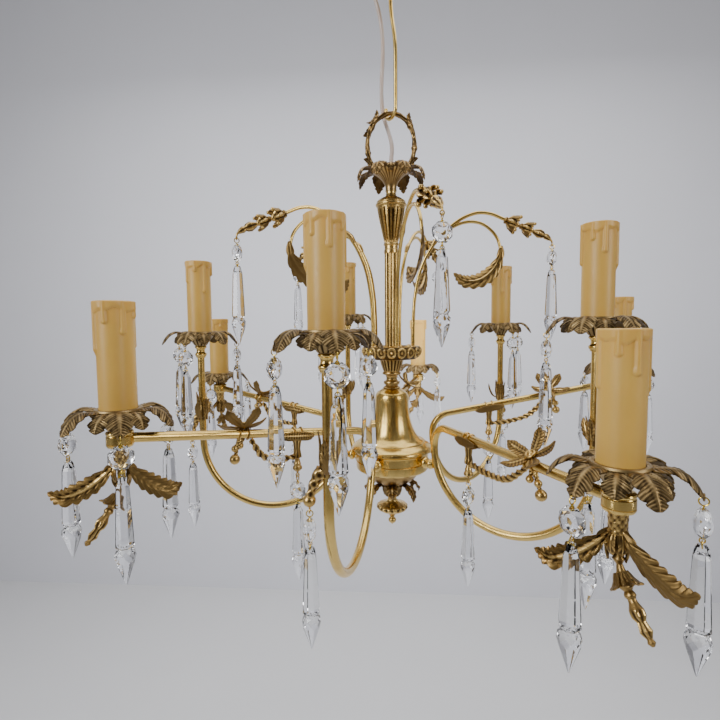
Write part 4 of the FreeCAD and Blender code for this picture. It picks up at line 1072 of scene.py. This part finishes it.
def spray_shape():
    """One spray growing towards -Y: its two arching wires; its bell flowers, bud and feathered leaf."""

    def spot(r, z):
        return np.array((0, -r, z), float)

    outer = smooth([spot(*p) for p in ((25, -36), (25.2, 0), (27.5, 32), (35, 64), (48, 88), (64, 105),
                                       (82, 117.5),
                                       (98, 122), (112, 120), (124, 114.5), (134, 110))], 8)
    inner = smooth([spot(*p) for p in ((50, 91), (60, 101), (74, 109.5), (88, 112.5), (101, 110), (112, 102),
                                       (119, 92),
                                       (122, 82))], 8)
    wires = [tube(outer, np.interp(np.linspace(0, 1, len(outer)), [0, 0.7, 1], [2, 2, 1.8]), 20),
             tube(inner, np.interp(np.linspace(0, 1, len(inner)), [0, 0.1, 1], [1.2, 1.9, 1.7]), 20)]
    parts = [turned_bar([spot(47, 88), spot(52, 95), spot(58, 100)], [(0, 2.1), (0.5, 3.2), (1, 2.2)], 18)]
    blade = [spot(*p) for p in ((123, 85), (121.5, 72), (113, 57), (99, 47.5), (84, 47), (71, 56))]
    parts.append(leaf(blade, [2.4, 8.6, 10.4, 9.6, 6.6, 1.0], np.array((1.0, 0, 0)), lobes=10, depth=0.55,
                      sweep=0.14,
                      thick=2.0, rib=0.9, ridge=0.9, veins=1, cup=0.1, across=15, rows=8, roll=62))
    way = unit(spot(168, 94) - spot(128, 112))
    parts.append(turned_bar([spot(126, 113), spot(168, 94)], [(0, 1.8), (1, 2.0)], 14))
    parts += bell_flower(spot(126, 113), way, 14, 8.4)
    parts += bell_flower(spot(142.5, 106), way, 13, 7.0)
    bud = [spot(157, 99), spot(163, 96.4), spot(170, 93), spot(175, 89.5)]
    ribs = lambda a, d: 0.35 * np.cos(5 * a)
    parts.append(turned_bar(bud, [(0, 2.2), (0.12, 3.4), (0.3, 4.8), (0.5, 4.0), (0.6, 2.4), (0.72, 3.2),
                                  (0.85, 2.6),
                                  (1, 1.4)], 24, ribs, 0.4))
    parts.append(turned_bar([spot(174, 90.5), spot(176.6, 87.4), spot(177, 85.4)], [(0, 1.5), (1, 0.8)], 12))
    parts.append(hoop(spot(177, 84), (0, -1, 0), EYE_RADIUS, EYE_WIRE))
    return lamp_level(total(wires)), lamp_level(total(parts))


def sprays():
    wires, flowers = spray_shape()
    wires, flowers = mesh_of("spray_wires", wires, POLISHED), mesh_of("spray_flowers", flowers, ANTIQUE_PAINTED_SHADE)
    for i in ARMS:
        place = put((0, 0, 0), SPRAY_START + 72 * i)
        piece(f"spray_wires_{i + 1}", wires, instead=["wire_sprays"], place=place)
        piece(f"spray_flowers_{i + 1}", flowers, instead=["wire_sprays"], place=place)


sprays()


# --- glass drops -----------------------------------------------------------------------------------

LINK_RADIUS, LINK_WIRE = 2.4, 0.45
BEAD_RADIUS, BEAD_THICK = 9.0, 9.0
PIN_LENGTH, SPEAR_LENGTH, SPEAR_RADIUS = 4.0, 78.0, 7.0
BEAD_TOP = -2 * LINK_RADIUS - LINK_WIRE - 1.2
BEAD_FLAT = BEAD_RADIUS * math.cos(math.radians(22.5))
SPEAR_TOP = BEAD_TOP - 2 * BEAD_FLAT - PIN_LENGTH


def facet_rings(rings):
    """A faceted solid from rings of eight corners: radius, height, turn in degrees and a squash."""
    points = []
    for radius, height, turn, flat in rings:
        a = np.radians(turn + 45 * np.arange(8))
        points.append(np.column_stack([radius * np.cos(a), flat * radius * np.sin(a), np.full(8, height)]))
    points = np.array(points)
    faces = []
    corners = points.reshape(-1, 3)
    for row, (now, then) in enumerate(zip(rings, rings[1:])):
        twist = then[2] - now[2]
        for i in range(8):
            a, b = row * 8 + i, row * 8 + (i + 1) % 8
            c, d = a + 8, b + 8
            if abs(twist) < 1e-6:
                faces.append((a, b, d, c))
            elif twist > 0:
                faces += [(a, b, c, c), (b, d, c, c)]
            else:
                faces += [(a, b, d, d), (a, d, c, c)]
    middle, last = len(corners), (len(rings) - 1) * 8
    corners = np.vstack([corners, points[0].mean(0), points[-1].mean(0)])
    for i in range(8):
        j = (i + 1) % 8
        faces.append((middle, j, i, i))
        faces.append((middle + 1, last + i, last + j, last + j))
    return Shape(corners, np.array(faces))


def drop_glass():
    """The brilliant-cut bead, its faces towards the way it swings, and the long cut spear."""
    half = BEAD_THICK / 2
    bead = facet_rings([(BEAD_RADIUS * r, half * h, turn, 1) for r, h, turn in (
        (0.42, -1, 22.5), (0.74, -0.74, 0), (0.97, -0.2, 22.5), (1, -0.08, 22.5), (1, 0.08, 22.5),
        (0.97, 0.2, 22.5), (0.74, 0.74, 0), (0.42, 1, 22.5))])
    bead = Shape(bead.points[:, [2, 0, 1]], bead.faces)
    bead = bead.moved(UP * (BEAD_TOP - BEAD_FLAT))
    stations = [(0, 0.3, 22.5, 0.5), (0.02, 0.5, 22.5, 0.55), (0.07, 0.62, 22.5, 0.7),
                (0.1, 0.68, 22.5, 0.95), (0.36, 0.80, 22.5, 1), (0.635, 0.93, 22.5, 1), (0.655, 0.74, 22.5, 1),
                (0.675, 0.80, 0, 1), (0.70, 0.98, 22.5, 1), (0.735, 1.0, 0, 1), (0.78, 0.9, 22.5, 1),
                (1, 0.06, 22.5, 1)]
    spear = facet_rings([(SPEAR_RADIUS * r, -SPEAR_LENGTH * s, turn, flat) for s, r, turn, flat in stations])
    return bead, spear.moved(UP * SPEAR_TOP)


def drop_wire():
    """The link in the casting's eye, the pin through the bead with its bow, and the spear's ring."""
    bottom = BEAD_TOP - 2 * BEAD_FLAT
    parts = [hoop(UP * -LINK_RADIUS, (0, 1, 0), LINK_RADIUS, LINK_WIRE, 28, 8)]
    parts.append(tube([UP * (BEAD_TOP + 1.5), UP * (BEAD_TOP - 2)], 0.5, 8))
    parts.append(hoop(UP * (BEAD_TOP - 0.2), (1, 0, 0.2), 1.1, 0.4, 16, 6))
    parts.append(hoop(UP * (BEAD_TOP - 1.6), (0.2, 0.3, 1), 1.3, 0.4, 16, 6))
    parts.append(tube([UP * (bottom + 2), UP * (bottom - 1)], 0.5, 8))
    parts.append(hoop(UP * (bottom - 1.9), (0, 1, 0), 1.4, 0.4, 18, 6))
    parts.append(hoop(UP * (SPEAR_TOP + 0.2), (1, 0, 0), 1.7, 0.4, 18, 6))
    parts.append(tube([UP * (SPEAR_TOP - 1.3) - (0, 2.6, 0), UP * (SPEAR_TOP - 1.3) + (0, 2.6, 0)], 0.45, 8))
    parts.append(ball(UP * (bottom + 0.4), 0.9, 12))
    return total(parts)


def drops():
    bead, spear = drop_glass()
    bead_mesh = mesh_of("bead", bead, GLASS, faceted=True)
    spear_mesh = mesh_of("spear", spear, GLASS, faceted=True)
    wire_mesh = mesh_of("drop_wire", drop_wire(), WIRE)
    places = {name: (eye, angle, name, name) for name, (eye, angle) in DROPS.items()}
    for arm in ARMS:
        lamp = LAMPS["upper", arm]
        eye = np.array((lamp[0], lamp[1], LAMP_PLANE + BUD_LEVEL - 27.5)) + compass(BUD_SIDE[arm]) * 14
        places[f"bud_drop_{arm + 1}"] = (eye, BUD_SIDE[arm], "chandelier", "tube_bud_drops")
    for name, (eye, angle, body, node) in places.items():
        place = put(eye, angle - 90)
        for kind, mesh, slot in (("bead", bead_mesh, "crystal"), ("spear", spear_mesh, "crystal"),
                                 ("wire", wire_mesh, "polished_brass")):
            piece(f"{name}_{kind}", mesh, body, [node], place)


drops()


# --- CAD pieces that show as they are, and the stage -----------------------------------------------


def finish_cad_nodes():
    for node, material in (("ceiling_hook_plate", POLISHED), ("threaded_tube", POLISHED),
                           ("lamp_holders", HOLDER)):
        mesh = frame["nodes"][node].data
        mesh.materials.clear()
        mesh.materials.append(material)


def make_stage():
    wall_paint = stage_paint("wall_paint", (0.73, 0.735, 0.785), (0.69, 0.695, 0.745))
    floor_paint = stage_paint("floor_paint", (0.74, 0.74, 0.75), (0.70, 0.70, 0.71))
    floor = -1.62
    for name, corners, paint in (
            ("floor", [(-5, -4, floor), (5, -4, floor), (5, 5, floor), (-5, 5, floor)], floor_paint),
            ("wall", [(-5, 1.5, floor), (5, 1.5, floor), (5, 1.5, 3), (-5, 1.5, 3)], wall_paint)):
        mesh = bpy.data.meshes.new(name)
        mesh.from_pydata(corners, [], [(0, 1, 2, 3)])
        mesh.materials.append(paint)
        thing = bpy.data.objects.new(name, mesh)
        bpy.context.scene.collection.objects.link(thing)


def lamp_light(name, place, aim, size, power, colour=(1, 1, 1)):
    data = bpy.data.lights.new(name, "AREA")
    data.shape = "RECTANGLE"
    data.size, data.size_y = size
    data.energy = power
    data.color = colour
    light = bpy.data.objects.new(name, data)
    way = Vector(aim) - Vector(place)
    light.matrix_world = Matrix.Translation(place) @ way.to_track_quat("-Z", "Y").to_matrix().to_4x4()
    bpy.context.scene.collection.objects.link(light)


def make_lights():
    middle = (0, 0, -0.45)
    lamp_light("window", (-1.6, -1.5, 0.3), middle, (1.0, 1.5), 34, (0.96, 0.98, 1.0))
    lamp_light("fill", (1.7, -1.2, 0.2), middle, (0.8, 1.2), 16, (1.0, 0.98, 0.95))
    lamp_light("ceiling_bounce", (0, 0.2, 0.9), middle, (2.4, 1.8), 24)
    lamp_light("wall_wash", (0, 0.3, -0.2), (0, 1.5, -0.5), (2.6, 1.2), 14)
    world = bpy.data.worlds.new("room")
    bpy.context.scene.world = world
    world.use_nodes = True
    tree = world.node_tree
    place = tree.nodes.new("ShaderNodeTexCoord")
    split = tree.nodes.new("ShaderNodeSeparateXYZ")
    ramp = tree.nodes.new("ShaderNodeValToRGB")
    spread = tree.nodes.new("ShaderNodeMapRange")
    spread.inputs[1].default_value, spread.inputs[2].default_value = -1, 1
    tree.links.new(place.outputs["Generated"], split.inputs[0])
    tree.links.new(split.outputs["Y"], spread.inputs[0])
    tree.links.new(spread.outputs[0], ramp.inputs[0])
    ramp.color_ramp.elements[0].color = (0.10, 0.085, 0.075, 1)
    ramp.color_ramp.elements[1].color = (0.62, 0.63, 0.67, 1)
    back = tree.nodes["Background"]
    tree.links.new(ramp.outputs[0], back.inputs["Color"])
    back.inputs["Strength"].default_value = 0.7


finish_cad_nodes()
make_stage()
make_lights()
